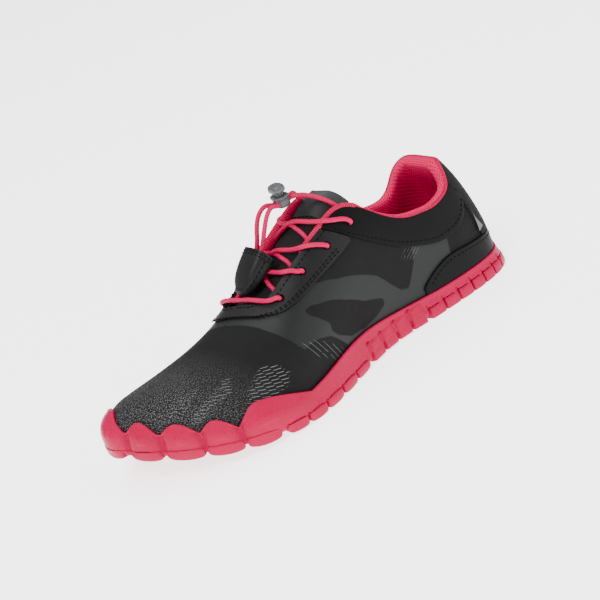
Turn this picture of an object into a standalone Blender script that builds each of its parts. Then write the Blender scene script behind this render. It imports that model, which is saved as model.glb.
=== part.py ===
"""Left barefoot shoe with an elastic draw lace, a lace pocket and a push-button cord lock.

Frame, in metres: +X points to the toe, +Y to the outer (little toe) side, +Z up.
The origin is the middle of the heel stud's flat underside, so the shoe stands on z = 0.

Every soft piece is cut from one surface, the last. A point of it has a station, which walks
round the foot (0 heel, 5 instep, 6 ball, 10 toe tip, then back along the inner side to 20),
and a rise, from 0 at the feather edge by the sole to 1 on the ridge along the top.
"""
import math

import bmesh
import bpy
import numpy as np
from mathutils import Matrix, Vector

# Driving dimensions
LENGTH = 0.268
BALL_WIDTH = 0.096
INSTEP_HEIGHT = 0.100
TOE_SPRING = 0.0178
ARCH_RISE = 0.0015
CUP_HEIGHT = 0.020
STEP_HEIGHT = 0.005
LUG_HEIGHT = 0.003
PLATE = 0.0037
FEATHER_INSET = 0.004
RIM_WALL = 0.0018
LUG_REACH = 0.0005
RIB_REACH = 0.0007
LOBE_BULGE = 0.0012
STUD_RADIUS = 0.0055
HEEL_STUD_RADIUS = 0.0080
INSOLE = 0.003
UPPER_WALL = 0.0016
OVERLAY = 0.0010
LINING_PAD = 0.0055
LINING_END = 0.0010
LINING_BEAD = 0.0026
TONGUE_WALL = 0.0024
EYELET_RADIUS = 0.0021
LACE_RADIUS = 0.0014
POCKET_LENGTH = 0.0245
POCKET_WALL = 0.0010
BARREL_HEIGHT = 0.0070
BUTTON_HEIGHT = 0.0044
BUTTON_TRAVEL = 0.0020
STEM_LENGTH = 0.0030
LOCK_STAND = 0.0075
CLEARANCE = 0.0003
OVERLAY_LIFT = 0.0004
INNER_CLEARANCE = 0.0007

# Heights that follow from them
PLATE_TOP = LUG_HEIGHT + PLATE
FEATHER = PLATE_TOP + CLEARANCE
TONGUE_DROP = UPPER_WALL + INNER_CLEARANCE + LINING_END + 2 * CLEARANCE

# Sections of the last. Each row: name, x of the ridge point, x and y of the outline on the
# outer side, x and y on the inner side, squareness of the section. The x values are shares
# of LENGTH and the y values shares of half BALL_WIDTH.
SECTIONS = (
    ("heel_back", 0.135, 0.017, 0.03, 0.017, 0.03, 2.3),
    ("heel_turn", 0.150, 0.032, 0.54, 0.036, -0.42, 2.4),
    ("heel", 0.185, 0.115, 0.73, 0.120, -0.62, 2.6),
    ("quarter", 0.260, 0.235, 0.71, 0.250, -0.60, 2.9),
    ("waist", 0.385, 0.370, 0.69, 0.400, -0.56, 2.8),
    ("instep", 0.530, 0.500, 0.83, 0.560, -0.75, 2.6),
    ("ball", 0.675, 0.640, 1.03, 0.730, -0.97, 2.4),
    ("little_toe", 0.770, 0.780, 0.95, 0.880, -0.95, 2.5),
    ("fourth_toe", 0.813, 0.884, 0.62, 0.972, -0.78, 2.7),
    ("third_toe", 0.843, 0.950, 0.25, 1.006, -0.45, 2.8),
    ("toe_tip", 0.872, 0.992, -0.12, 0.992, -0.12, 2.8),
)

# Side view of the ridge. Each row: x as a share of LENGTH, height as a share of INSTEP_HEIGHT.
RIDGE = ((-0.05, 0.91), (0.12, 0.95), (0.25, 0.99), (0.36, 0.985), (0.42, 0.92), (0.48, 0.825),
         (0.54, 0.73), (0.60, 0.64), (0.70, 0.505), (0.80, 0.42), (0.90, 0.36), (1.00, 0.31),
         (1.10, 0.20))

# Top view of the ridge. Each row: x as a share of LENGTH, y as a share of half BALL_WIDTH.
RIDGE_SWAY = ((-0.05, 0.0), (0.30, 0.0), (0.50, -0.04), (0.70, -0.12), (0.85, -0.23), (1.10, -0.34))

# Rim of the sole's cup between the toes. Each row: station, height as a share of CUP_HEIGHT.
RIM = ((0, 1.10), (0.5, 0.80), (1, 0.62), (2, 0.59), (3, 0.63), (4, 0.82), (4.6, 0.93), (5, 0.92),
       (5.5, 0.83), (6, 0.74), (7, 0.66), (8, 0.74), (9, 0.80), (10, 0.86), (11, 0.95), (12, 0.92),
       (13, 0.82), (14, 0.80), (15, 0.82), (16, 0.85), (17, 0.72), (18, 0.60), (19, 0.62),
       (19.5, 0.80), (20, 1.10))

# Lobes of the rim, one over each toe. Each row: name, middle station, reach towards the heel
# and towards the toe tip in stations, extra height as a share of CUP_HEIGHT.
LOBES = (
    ("little_toe", 6.85, 0.85, 0.45, 0.52),
    ("fourth_toe", 7.66, 0.34, 0.34, 0.30),
    ("third_toe", 8.45, 0.42, 0.45, 0.28),
    ("second_toe", 9.45, 0.45, 0.45, 0.32),
    ("big_toe", 10.95, 0.95, 1.30, 0.42),
)

# Rows of lugs along the edge. Each row: name, first and last station, count, share of each
# pitch that is rubber, how far each lug reaches in from the edge as a share of BALL_WIDTH,
# height of its rib up the side as a share of CUP_HEIGHT, slant of its inner end in stations.
LUG_ROWS = (
    ("outer_heel", 0.45, 3.35, 9, 0.72, 0.10, 0.42, 0.10),
    ("outer_waist", 3.42, 4.70, 4, 0.66, 0.09, 0.66, 0.10),
    ("outer_ball", 4.80, 6.20, 4, 0.76, 0.13, 0.40, 0.06),
    ("inner_ball", 13.10, 14.75, 4, 0.76, 0.13, 0.40, -0.06),
    ("inner_waist", 14.95, 16.55, 5, 0.66, 0.09, 0.60, -0.08),
    ("inner_heel", 16.65, 19.55, 9, 0.72, 0.10, 0.42, -0.10),
)

# Studs inside the edge lugs. Each row: name, x as a share of LENGTH, y as a share of half
# BALL_WIDTH, radius as a share of STUD_RADIUS.
STUDS = (
    ("heel_fore", 0.225, 0.03, 1.0),
    ("heel_left", 0.105, 0.30, 0.8),
    ("heel_right", 0.105, -0.26, 0.8),
    ("arch", 0.300, 0.05, 0.9),
    ("ball_outer", 0.600, 0.42, 1.1),
    ("ball_middle", 0.600, 0.02, 1.1),
    ("ball_inner", 0.605, -0.38, 1.1),
    ("fore_outer", 0.690, 0.52, 1.1),
    ("fore_middle", 0.700, 0.12, 1.1),
    ("fore_inner", 0.710, -0.30, 1.1),
    ("toe_outer", 0.765, 0.36, 0.9),
    ("toe_inner", 0.780, -0.08, 0.9),
)
HEEL_STUD_X = 0.16

# Opening of the upper. Each row: station, rise on the outer side, rise on the inner side.
OPENING = ((0.0, 0.545, 0.545), (0.5, 0.550, 0.550), (1.0, 0.548, 0.548), (1.2, 0.530, 0.540),
           (1.4, 0.480, 0.520), (1.6, 0.415, 0.490), (1.8, 0.370, 0.440), (2.0, 0.345, 0.360),
           (2.2, 0.325, 0.305), (2.45, 0.305, 0.280), (2.95, 0.308, 0.290), (3.16, 0.332, 0.330),
           (3.34, 0.378, 0.380), (3.50, 0.440, 0.450), (3.64, 0.518, 0.530), (3.79, 0.590, 0.610),
           (3.97, 0.637, 0.680), (4.36, 0.660, 0.710), (4.71, 0.700, 0.725), (5.06, 0.743, 0.750),
           (5.40, 0.765, 0.765), (5.56, 0.786, 0.786))
THROAT_END = (5.56, 5.64, 5.67)
THROAT_END_RISE = (0.786, 0.855, 1.0)

# Lower edge of the smooth band round the collar. Each row: station, rise.
BAND_EDGE = ((0.45, 0.205), (1.0, 0.180), (1.5, 0.160), (2.0, 0.147), (2.53, 0.145), (2.77, 0.149),
             (3.18, 0.182), (3.45, 0.227), (3.61, 0.273), (3.85, 0.344), (4.00, 0.410), (4.14, 0.482),
             (4.31, 0.612))

# Rear edge of that band, which leans forward from its lower corner to the collar.
BAND_BACK = ((0.45, 0.215), (1.65, 0.410))

# Outer edge of the eyestay. Each row: station, rise.
EYESTAY_EDGE = ((4.03, 0.402), (4.32, 0.403), (4.69, 0.440), (5.01, 0.480), (5.27, 0.521),
                (5.47, 0.562), (5.65, 0.621), (5.79, 0.737), (5.855, 0.900), (5.87, 1.0))

# Upper edge of the heel counter. Each row: station, height as a share of CUP_HEIGHT.
COUNTER_EDGE = ((0.0, 1.28), (0.5, 1.22), (1.0, 1.20), (1.5, 1.25), (2.15, 1.34), (2.53, 1.41),
                (2.82, 1.31), (3.12, 1.06), (3.22, 0.90))

# Eyelets of one side, from the toe to the ankle. Each row: station, rise.
EYELETS = ((5.44, 0.672), (4.97, 0.613), (4.44, 0.526), (3.90, 0.486))

# The lace from each eyelet over the tongue to the other side, one eyelet lower. Each row:
# station at the near edge of the throat, on the ridge and at the far edge.
STRANDS = ((5.08, 5.16, 5.36), (4.66, 4.87, 4.98), (4.20, 4.46, 4.57))

# Outer edges of the tongue below the throat. Each row: station, rise.
TONGUE_EDGE = ((3.60, 0.60), (3.90, 0.56), (4.40, 0.57), (5.00, 0.64), (5.85, 0.74))

# Free stretches of the lace to and from the cord lock, as chosen points.
LACE_TOP_OUTER = ((0.1045, 0.0036, 0.0972), (0.1085, 0.0004, 0.0992), (0.1127, -0.0009, 0.0998))
LACE_TOP_INNER = ((0.1050, -0.0090, 0.0972), (0.1088, -0.0064, 0.0992), (0.1127, -0.0053, 0.0998))
LACE_TAIL_OUTER = ((0.1224, -0.0009, 0.0998), (0.1262, -0.0006, 0.1010), (0.1303, -0.0004, 0.0993),
                   (0.1340, -0.0006, 0.0950), (0.1372, -0.0010, 0.0900), (0.1402, -0.0014, 0.0850),
                   (0.1440, -0.0016, 0.0808))
LACE_TAIL_INNER = ((0.1224, -0.0053, 0.0998), (0.1264, -0.0060, 0.1014), (0.1310, -0.0068, 0.1000),
                   (0.1350, -0.0072, 0.0958), (0.1380, -0.0070, 0.0906), (0.1408, -0.0064, 0.0852),
                   (0.1444, -0.0058, 0.0808))

# Where the top lace leaves the throat's edge. Each row: station, share of the half width.
LACE_TOP_START = ((3.93, 0.56), (3.99, 0.36))

HALF = len(SECTIONS) - 1
ROUND = 2 * HALF
UPPER_ROWS = 7
UPPER_STEP = 0.3125
RIDGE_BLEND = 0.10
RIDGE_TOUCH = 0.02


class Smooth:
    """A cubic curve through knots, natural at its ends or closed, for numbers or points."""

    def __init__(self, knots, values, closed=False):
        knots = np.array(knots, float)
        values = np.array(values, float)
        flat = values.reshape(len(knots), -1)
        gap = np.diff(knots)
        slope = (flat[1:] - flat[:-1]) / gap[:, None]
        matrix = np.zeros((len(knots), len(knots)))
        right = np.zeros_like(flat)
        for i in range(1, len(knots) - 1):
            matrix[i, i - 1] = gap[i - 1]
            matrix[i, i] = 2 * (gap[i - 1] + gap[i])
            matrix[i, i + 1] = gap[i]
            right[i] = 6 * (slope[i] - slope[i - 1])
        if closed:
            matrix[0, 0] = 2 * (gap[0] + gap[-1])
            matrix[0, 1] = gap[0]
            matrix[0, -2] = gap[-1]
            right[0] = 6 * (slope[0] - slope[-1])
            matrix[-1, 0] = 1
            matrix[-1, -1] = -1
        else:
            matrix[0, 0] = 1
            matrix[-1, -1] = 1
        self.knots = knots
        self.flat = flat
        self.bend = np.linalg.solve(matrix, right)
        self.shape = values.shape[1:]
        self.closed = closed

    def __call__(self, at):
        at = np.asarray(at, float)
        if self.closed:
            at = self.knots[0] + (at - self.knots[0]) % (self.knots[-1] - self.knots[0])
        i = np.clip(np.searchsorted(self.knots, at, side="right") - 1, 0, len(self.knots) - 2)
        gap = (self.knots[i + 1] - self.knots[i])[..., None]
        back = (self.knots[i + 1] - at)[..., None] / gap
        ahead = (at - self.knots[i])[..., None] / gap
        curve = (back ** 3 - back) * self.bend[i] + (ahead ** 3 - ahead) * self.bend[i + 1]
        value = back * self.flat[i] + ahead * self.flat[i + 1] + curve * gap ** 2 / 6
        return value.reshape(at.shape + self.shape)


def steps(table):
    """A table of station and value as a function that runs straight from row to row."""
    knots = [row[0] for row in table]
    values = [row[1] for row in table]
    return lambda at: np.interp(at, knots, values)


def fold(values):
    """Lists a value per section round the whole foot: out along one side, back along the other."""
    return list(values) + list(values[-2::-1])


OUTER_SIDE = [(row[2], row[3]) for row in SECTIONS]
INNER_SIDE = [(row[4], row[5]) for row in SECTIONS[-2::-1]]
OUTLINE = Smooth(range(ROUND + 1), np.array(OUTER_SIDE + INNER_SIDE) * [LENGTH, BALL_WIDTH / 2], True)
RIDGE_SPOTS = Smooth(range(HALF + 1), [row[1] * LENGTH for row in SECTIONS])
SQUARENESS = Smooth(range(ROUND + 1), fold([row[6] for row in SECTIONS]), True)
RIDGE_Z = Smooth([x * LENGTH for x, z in RIDGE], [z * INSTEP_HEIGHT for x, z in RIDGE])
RIDGE_Y = Smooth([x * LENGTH for x, y in RIDGE_SWAY], [y * BALL_WIDTH / 2 for x, y in RIDGE_SWAY])
RIM_CURVE = Smooth([row[0] for row in RIM], [row[1] for row in RIM], True)
OPENING_OUTER = steps(OPENING)
OPENING_INNER = steps([(row[0], row[2]) for row in OPENING])
BAND_LINE = steps(BAND_EDGE)
BAND_BACK_LINE = steps(BAND_BACK)
EYESTAY_LINE = steps(EYESTAY_EDGE)
COUNTER_LINE = steps(COUNTER_EDGE)
TONGUE_LINE = steps(TONGUE_EDGE)

SPRING_START = 0.62
SPRING_POWER = 1.8
ARCH_MIDDLE = 0.40
ARCH_REACH = 0.15


def spring(x):
    """How far the toe end of every level is bent up."""
    share = np.clip((x / LENGTH - SPRING_START) / (1 - SPRING_START), 0, 2)
    return TOE_SPRING * share ** SPRING_POWER


def arch(x):
    """How far the underside is lifted at the waist."""
    share = np.clip(1 - ((x / LENGTH - ARCH_MIDDLE) / ARCH_REACH) ** 2, 0, 1)
    return ARCH_RISE * share ** 2


def ridge_x(station):
    """Where along the ridge a station's section ends, the same for both sides."""
    station = np.asarray(station, float) % ROUND
    return RIDGE_SPOTS(np.minimum(station, ROUND - station))


def outline(station, out=0.0):
    """The sole's outline from above, moved outwards by out."""
    station = np.asarray(station, float)
    small = 1e-3
    along = OUTLINE(station + small) - OUTLINE(station - small)
    along = along / np.linalg.norm(along, axis=-1, keepdims=True)
    outward = np.stack([-along[..., 1], along[..., 0]], -1)
    return OUTLINE(station) + outward * np.asarray(out, float)[..., None]


def last(station, rise):
    """A point of the last."""
    station, rise = np.broadcast_arrays(np.asarray(station, float), np.asarray(rise, float))
    foot = outline(station, -FEATHER_INSET)
    top_x = ridge_x(station)
    top_y = RIDGE_Y(top_x)
    turn = rise * math.pi / 2
    power = 2 / SQUARENESS(station)
    spread = np.maximum(np.cos(turn), 0) ** power
    lift = np.maximum(np.sin(turn), 0) ** power
    x = top_x + (foot[..., 0] - top_x) * spread
    y = top_y + (foot[..., 1] - top_y) * spread
    z = FEATHER + (RIDGE_Z(x) - FEATHER) * lift + spring(x)
    return np.stack([x, y, z], -1)


def plain_normal(station, rise):
    """The outward direction of the last, short of the ridge."""
    small = 1e-3
    rise = np.clip(rise, small, 1 - RIDGE_TOUCH)
    along = last(station + small, rise) - last(station - small, rise)
    up = last(station, rise + small) - last(station, rise - small)
    normal = np.cross(up, along)
    return normal / np.linalg.norm(normal, axis=-1, keepdims=True)


def shell(station, rise, out=0.0):
    """A point off the last, out along its normal. Both sides agree on the ridge."""
    station, rise = np.broadcast_arrays(np.asarray(station, float), np.asarray(rise, float))
    near = np.clip((rise - 1 + RIDGE_BLEND) / RIDGE_BLEND, 0, 1)[..., None] / 2
    normal = plain_normal(station, rise) * (1 - near) + plain_normal(ROUND - station, rise) * near
    normal = normal / np.linalg.norm(normal, axis=-1, keepdims=True)
    return last(station, rise) + normal * np.asarray(out, float)[..., None]


def rise_at(station, height):
    """The rise where the last reaches a height above the toe spring."""
    station, height = np.broadcast_arrays(np.asarray(station, float), np.asarray(height, float))
    rise = np.full(station.shape, 0.1)
    for _ in range(8):
        point = last(station, rise)
        lift = np.clip((height - FEATHER) / (RIDGE_Z(point[..., 0]) - FEATHER), 0, 1)
        rise = np.arcsin(lift ** (SQUARENESS(station) / 2)) * 2 / math.pi
    return rise


def lobe(station):
    """Height share that the toe lobes add to the rim at a station."""
    total = 0.0
    for name, middle, back, front, height in LOBES:
        offset = (station - middle) / (back if station < middle else front)
        if abs(offset) < 1:
            total = max(total, height * math.cos(offset * math.pi / 2))
    return total


def rim_height(station):
    """Height of the cup's rim above the toe spring."""
    return CUP_HEIGHT * (float(RIM_CURVE(station)) + lobe(station % ROUND))


def opening(station):
    """Rise of the upper's edge at a station of either side."""
    station = station % ROUND
    side = OPENING_OUTER if station < HALF else OPENING_INNER
    station = min(station, ROUND - station)
    if station >= THROAT_END[-1]:
        return 1.0
    if station > THROAT_END[0]:
        return float(np.interp(station, THROAT_END, THROAT_END_RISE))
    return float(side(station))


ROOT = bpy.data.objects
PARTS = None
CUTTERS = None
FRAME = None


def material(name, colour, roughness, metallic=0.0):
    found = bpy.data.materials.get(name)
    if found:
        return found
    made = bpy.data.materials.new(name)
    made.use_nodes = True
    shader = made.node_tree.nodes["Principled BSDF"]
    shader.inputs["Base Color"].default_value = (*colour, 1)
    shader.inputs["Roughness"].default_value = roughness
    shader.inputs["Metallic"].default_value = metallic
    return made


def place(name, data, look, collection=None):
    """Puts mesh or curve data in the scene as one named piece."""
    piece = bpy.data.objects.new(name, data)
    (collection or PARTS).objects.link(piece)
    piece.parent = FRAME
    if look:
        data.materials.append(look)
    return piece


def mesh_of(name, shape):
    """Turns a bmesh into mesh data, smooth but for its real edges."""
    bmesh.ops.remove_doubles(shape, verts=shape.verts, dist=1e-6)
    bmesh.ops.recalc_face_normals(shape, faces=shape.faces)
    data = bpy.data.meshes.new(name)
    shape.to_mesh(data)
    shape.free()
    data.shade_smooth()
    data.set_sharp_from_angle(angle=math.radians(40))
    return data


def loft(name, loops, closed=False, ring=True, caps=True):
    """Joins loops of points into a mesh. ring closes each loop, closed joins last to first."""
    shape = bmesh.new()
    rows = []
    for loop in loops:
        rows.append([shape.verts.new(tuple(float(c) for c in point)) for point in loop])
    count = len(rows[0])
    for i in range(len(rows) if closed else len(rows) - 1):
        near = rows[i]
        far = rows[(i + 1) % len(rows)]
        for j in range(count if ring else count - 1):
            k = (j + 1) % count
            corners = [near[j], near[k], far[k], far[j]]
            shape.faces.new(corners)
    if caps and ring and not closed:
        shape.faces.new(rows[0])
        shape.faces.new(rows[-1])
    return mesh_of(name, shape)


def solidify(piece, thickness, offset):
    """Gives an open surface its wall: offset -1 grows it inwards, 1 outwards."""
    wall = piece.modifiers.new("wall", "SOLIDIFY")
    wall.thickness = thickness
    wall.offset = offset
    return piece


def boolean(piece, others, operation):
    """Joins or cuts a piece with a collection of solids."""
    cut = piece.modifiers.new(operation.lower(), "BOOLEAN")
    cut.operation = operation
    cut.operand_type = "COLLECTION"
    cut.collection = others
    cut.solver = "EXACT"
    return cut


def tool_collection(name):
    made = bpy.data.collections.new(name)
    CUTTERS.children.link(made)
    return made


def tool(name, data, collection):
    piece = place(name, data, None, collection)
    piece.hide_render = True
    piece.display_type = "WIRE"
    return piece


def panel(name, stations, low, high, rows, out, thickness, look):
    """An overlay: a strip of the last between two edges, lifted off it by out."""
    columns = []
    for station in stations:
        rises = np.linspace(low(station), high(station), rows)
        columns.append(shell(np.full(rows, station), rises, out))
    data = loft(name, columns, ring=False)
    piece = place(name, data, look)
    return solidify(piece, thickness, sheet_side(data))


def sheet_side(data):
    """1 if a sheet's faces point away from the shoe's middle, so that a wall grows outwards."""
    middle = Vector((LENGTH * 0.45, 0, INSTEP_HEIGHT * 0.3))
    total = 0.0
    for face in data.polygons:
        total += face.normal.dot(face.center - middle) * face.area
    return 1 if total > 0 else -1


def columns(first, last_one, step, extra=()):
    """Stations from first to last_one on the grid that all pieces share, with extra ones."""
    ends = (first, last_one)
    grid = [step * i for i in range(math.ceil(first / step), math.floor(last_one / step) + 1)]
    given = sorted(set(ends) | set(extra))
    kept = [station for station in grid if all(abs(station - e) > 0.03 for e in given)]
    return sorted(kept + given)


def level(station, spread, height):
    """A point of the flat inside or underside of the sole, spread from the ridge line."""
    edge = outline(station, 0.0)
    middle = np.array([ridge_x(station), RIDGE_Y(ridge_x(station))])
    x, y = middle + (edge - middle) * spread
    return np.array([x, y, height + spring(x)])


def cup_side(station, height, out):
    """A point of the cup's side at a height above the toe spring."""
    if height <= FEATHER:
        x, y = outline(station, out - FEATHER_INSET)
        return np.array([x, y, height + spring(x)])
    return shell(station, rise_at(station, height), out)


def side_out(station, height):
    """How far the cup's outer face stands off the last at a height."""
    rim = rim_height(station)
    share = np.clip((height - STEP_HEIGHT) / (rim - STEP_HEIGHT), 0, 1)
    rim_out = CLEARANCE + RIM_WALL
    bulge = LOBE_BULGE * lobe(station % ROUND) / 0.4 * math.sin(math.pi * share)
    return rim_out + (FEATHER_INSET - rim_out) * (1 - share) ** 1.3 + bulge


def sole_loop(station):
    """One slice of the cup, from the inside middle over the rim to the underside's middle."""
    rim = rim_height(station)
    inner = [PLATE_TOP + (rim - PLATE_TOP) * share for share in (0.3, 0.55, 0.8, 1.0)]
    outer = [STEP_HEIGHT + (rim - STEP_HEIGHT) * share for share in (1.0, 0.72, 0.4)]
    points = [level(station, 0.0, PLATE_TOP), level(station, 0.62, PLATE_TOP)]
    points.append(cup_side(station, PLATE_TOP, CLEARANCE))
    points += [cup_side(station, height, CLEARANCE) for height in inner]
    crown = (cup_side(station, rim, CLEARANCE) + cup_side(station, rim, CLEARANCE + RIM_WALL)) / 2
    points.append(crown + np.array([0, 0, RIM_WALL * 0.25]))
    points += [cup_side(station, height, side_out(station, height)) for height in outer]
    points.append(cup_side(station, STEP_HEIGHT, FEATHER_INSET))
    points.append(cup_side(station, STEP_HEIGHT * 0.86, FEATHER_INSET - 0.0009))
    low = cup_side(station, LUG_HEIGHT, FEATHER_INSET - 0.0014)
    points.append(low + np.array([0, 0, arch(low[0])]))
    for spread in (0.6, 0.0):
        point = level(station, spread, LUG_HEIGHT)
        points.append(point + np.array([0, 0, arch(point[0])]))
    return points


def ground(station, out, height):
    """A point of a lug, at a height above the bent and arched ground."""
    x, y = outline(station, out)
    return np.array([x, y, height + spring(x) + arch(x)])


def edge_lug(stations, depth, rib, slant, collection, name):
    """A lug under the edge that goes on as a rib up the side."""
    loops = []
    for station in stations:
        rib_out = side_out(station, rib) + RIB_REACH
        loops.append([
            ground(station + slant, -depth, 0.0),
            ground(station, LUG_REACH - 0.0006, 0.0),
            ground(station, LUG_REACH, STEP_HEIGHT * 0.3),
            cup_side(station, STEP_HEIGHT * 1.1, FEATHER_INSET + RIB_REACH),
            cup_side(station, rib, rib_out),
            cup_side(station, rib, rib_out - RIB_REACH - 0.0006),
            cup_side(station, STEP_HEIGHT * 1.1, FEATHER_INSET - 0.0012),
            ground(station, -0.0035, LUG_HEIGHT + PLATE / 2),
            ground(station + slant, -depth, LUG_HEIGHT + PLATE / 2),
        ])
    return tool(name, loft(name, loops), collection)


def stud(name, x, y, radius, collection):
    """A six-sided stud of the tread."""
    shape = bmesh.new()
    tall = LUG_HEIGHT + PLATE / 2
    bmesh.ops.create_cone(shape, cap_ends=True, segments=6, radius1=radius, radius2=radius, depth=tall)
    lift = float(spring(np.float64(x)) + arch(np.float64(x)))
    bmesh.ops.translate(shape, verts=shape.verts, vec=(x, y, tall / 2 + lift))
    return tool(name, mesh_of(name, shape), collection)


def make_outsole():
    coarse = columns(0, 6.25, UPPER_STEP)
    fine = columns(6.25, ROUND - 6.25, UPPER_STEP / 2)
    stations = coarse + fine[1:-1] + [ROUND - station for station in coarse[:0:-1]]
    data = loft("outsole", [sole_loop(station) for station in stations], closed=True, ring=False)
    sole = place("outsole", data, RUBBER)
    lugs = tool_collection("tread")
    for name, first, final, count, share, depth, rib, slant in LUG_ROWS:
        pitch = (final - first) / count
        for i in range(count):
            start = first + pitch * i
            spots = np.linspace(start, start + pitch * share, 2 if pitch < 0.34 else 3)
            edge_lug(spots, depth * BALL_WIDTH, rib * CUP_HEIGHT, slant, lugs, f"{name}_{i + 1}")
    for name, middle, back, front, height in LOBES:
        back = min(back, 0.55)
        front = min(front, 1.0)
        spots = np.linspace(middle - back * 0.86, middle + front * 0.86, 5)
        edge_lug(spots, 0.15 * BALL_WIDTH, STEP_HEIGHT * 1.5, 0.0, lugs, f"{name}_pad")
    for name, x, y, radius in STUDS:
        stud(name, x * LENGTH, y * BALL_WIDTH / 2, radius * STUD_RADIUS, lugs)
    stud("heel_middle", HEEL_STUD_X * LENGTH, 0.0, HEEL_STUD_RADIUS, lugs)
    boolean(sole, lugs, "UNION")
    return sole


def make_insole():
    inset = FEATHER_INSET + UPPER_WALL + 2 * CLEARANCE
    loops = []
    for station in columns(0, 20, 0.5)[:-1]:
        edge = outline(station, -inset)
        middle = np.array([ridge_x(station), RIDGE_Y(ridge_x(station))])
        loop = []
        for spread in (0.0, 0.5, 1.0):
            x, y = middle + (edge - middle) * spread
            loop.append((x, y, PLATE_TOP + CLEARANCE + spring(x)))
        loops.append(loop)
    data = loft("insole", loops, closed=True, ring=False)
    piece = place("insole", data, FOAM)
    up = 1 if data.polygons[0].normal.z > 0 else -1
    return solidify(piece, INSOLE, up)


def eyelet_cutters(name, spots):
    """Punches through both sides of the throat."""
    cutters = tool_collection(name)
    for i, (station, rise) in enumerate(spots):
        for side, place_at in (("outer", station), ("inner", ROUND - station)):
            point = shell(place_at, rise, 0.0)
            ahead = shell(place_at, rise, 0.01) - point
            turn = Vector(ahead).to_track_quat("Z", "Y")
            shape = bmesh.new()
            bmesh.ops.create_cone(shape, cap_ends=True, segments=10, radius1=EYELET_RADIUS,
                                  radius2=EYELET_RADIUS, depth=0.012)
            bmesh.ops.transform(shape, matrix=turn.to_matrix().to_4x4(), verts=shape.verts)
            bmesh.ops.translate(shape, verts=shape.verts, vec=tuple(point))
            tool(f"{name}_{side}_{i + 1}", mesh_of(name, shape), cutters)
    return cutters




def make_upper(punches):
    front = THROAT_END + tuple(ROUND - station for station in THROAT_END)
    stations = columns(0, ROUND, UPPER_STEP, front)[:-1]
    loops = []
    for station in stations:
        rises = opening(station) * np.linspace(0, 1, UPPER_ROWS) ** 0.9
        loops.append(shell(np.full(UPPER_ROWS, station), rises, 0.0))
    data = loft("upper", loops, closed=True, ring=False)
    upper = place("upper", data, KNIT)
    solidify(upper, UPPER_WALL, -sheet_side(data))
    boolean(upper, punches, "DIFFERENCE")
    return upper


def side_stations(first, final, step, extra=()):
    """Stations of a panel that goes round the heel, from the inner side to the outer."""
    outer = columns(first, final, step, extra)
    return [-station for station in outer[::-1]] + [s for s in outer if s > 1e-6]


def either(line):
    """Lets a one-sided line serve both sides."""
    return lambda station: float(line(min(station % ROUND, ROUND - station % ROUND)))


def band_top(station):
    """Upper edge of the collar band: its rear edge first, then the collar."""
    at = min(station % ROUND, ROUND - station % ROUND)
    if at < BAND_BACK[-1][0]:
        return min(opening(station), float(BAND_BACK_LINE(at)))
    return opening(station)


def make_band(side, sign, punches):
    """Smooth overlay along the collar of one side."""
    front = [row[0] for row in BAND_EDGE[-4:]]
    stations = [sign * s for s in columns(BAND_EDGE[0][0], BAND_EDGE[-1][0], UPPER_STEP, front)]
    name = f"collar_band_{side}"
    band = panel(name, stations, either(BAND_LINE), band_top, 5, OVERLAY_LIFT, OVERLAY, SMOOTH)
    boolean(band, punches, "DIFFERENCE")
    return band


def make_eyestay(punches):
    """U-shaped overlay with the eyelets, joined ahead of the throat."""
    gap = 0.012

    def top(station):
        at = min(station, ROUND - station)
        if at < BAND_EDGE[-1][0] + 0.02:
            return min(opening(station), float(BAND_LINE(at)) - gap)
        return opening(station)

    def low(station):
        at = min(station, ROUND - station)
        return float(EYESTAY_LINE(at))

    ends = (4.14, 4.22, 4.31) + THROAT_END + (5.73, 5.79, 5.83, 5.86)
    outer = columns(4.06, ends[-1], UPPER_STEP, ends)
    loops = []
    rows = 6
    for station in outer:
        loops.append(shell(np.full(rows, station), np.linspace(low(station), top(station), rows), OVERLAY_LIFT))
    mirrored = []
    for station in outer:
        at = ROUND - station
        mirrored.append(shell(np.full(rows, at), np.linspace(low(at), top(at), rows), OVERLAY_LIFT))
    shape = bmesh.new()
    for side in (loops, mirrored[::-1]):
        grid = [[shape.verts.new(tuple(map(float, p))) for p in column] for column in side]
        for near, far in zip(grid, grid[1:]):
            for j in range(rows - 1):
                shape.faces.new((near[j], near[j + 1], far[j + 1], far[j]))
    data = mesh_of("eyestay", shape)
    eyestay = place("eyestay", data, SMOOTH)
    solidify(eyestay, OVERLAY, sheet_side(data))
    boolean(eyestay, punches, "DIFFERENCE")
    return eyestay


def rim_rise(station):
    """Rise just above the cup's rim."""
    return float(rise_at(station % ROUND, rim_height(station % ROUND) + RIM_WALL * 0.25 + 2 * CLEARANCE))


def make_counter():
    stations = side_stations(0, COUNTER_EDGE[-1][0], UPPER_STEP, (0.5, 2.82, 3.05))
    top = either(lambda at: rise_at(at, COUNTER_LINE(at) * CUP_HEIGHT))
    return panel("heel_counter", stations, rim_rise, top, 3, CLEARANCE, OVERLAY, SMOOTH)


def make_heel_tab():
    corner, front = BAND_BACK[0][0] - 0.04, BAND_BACK[-1][0]

    def low(at):
        if at < corner:
            return float(rise_at(at, COUNTER_LINE(at) * CUP_HEIGHT + 2 * CLEARANCE))
        return float(BAND_BACK_LINE(at)) + 0.012

    stations = side_stations(0, front - 0.1, UPPER_STEP, (corner - 0.02, corner + 0.02))
    return panel("heel_tab", stations, either(low), opening, 6, CLEARANCE, OVERLAY, KNIT)


LINING_FRONT = 3.86
LINING_DEPTH = 0.42


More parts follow.
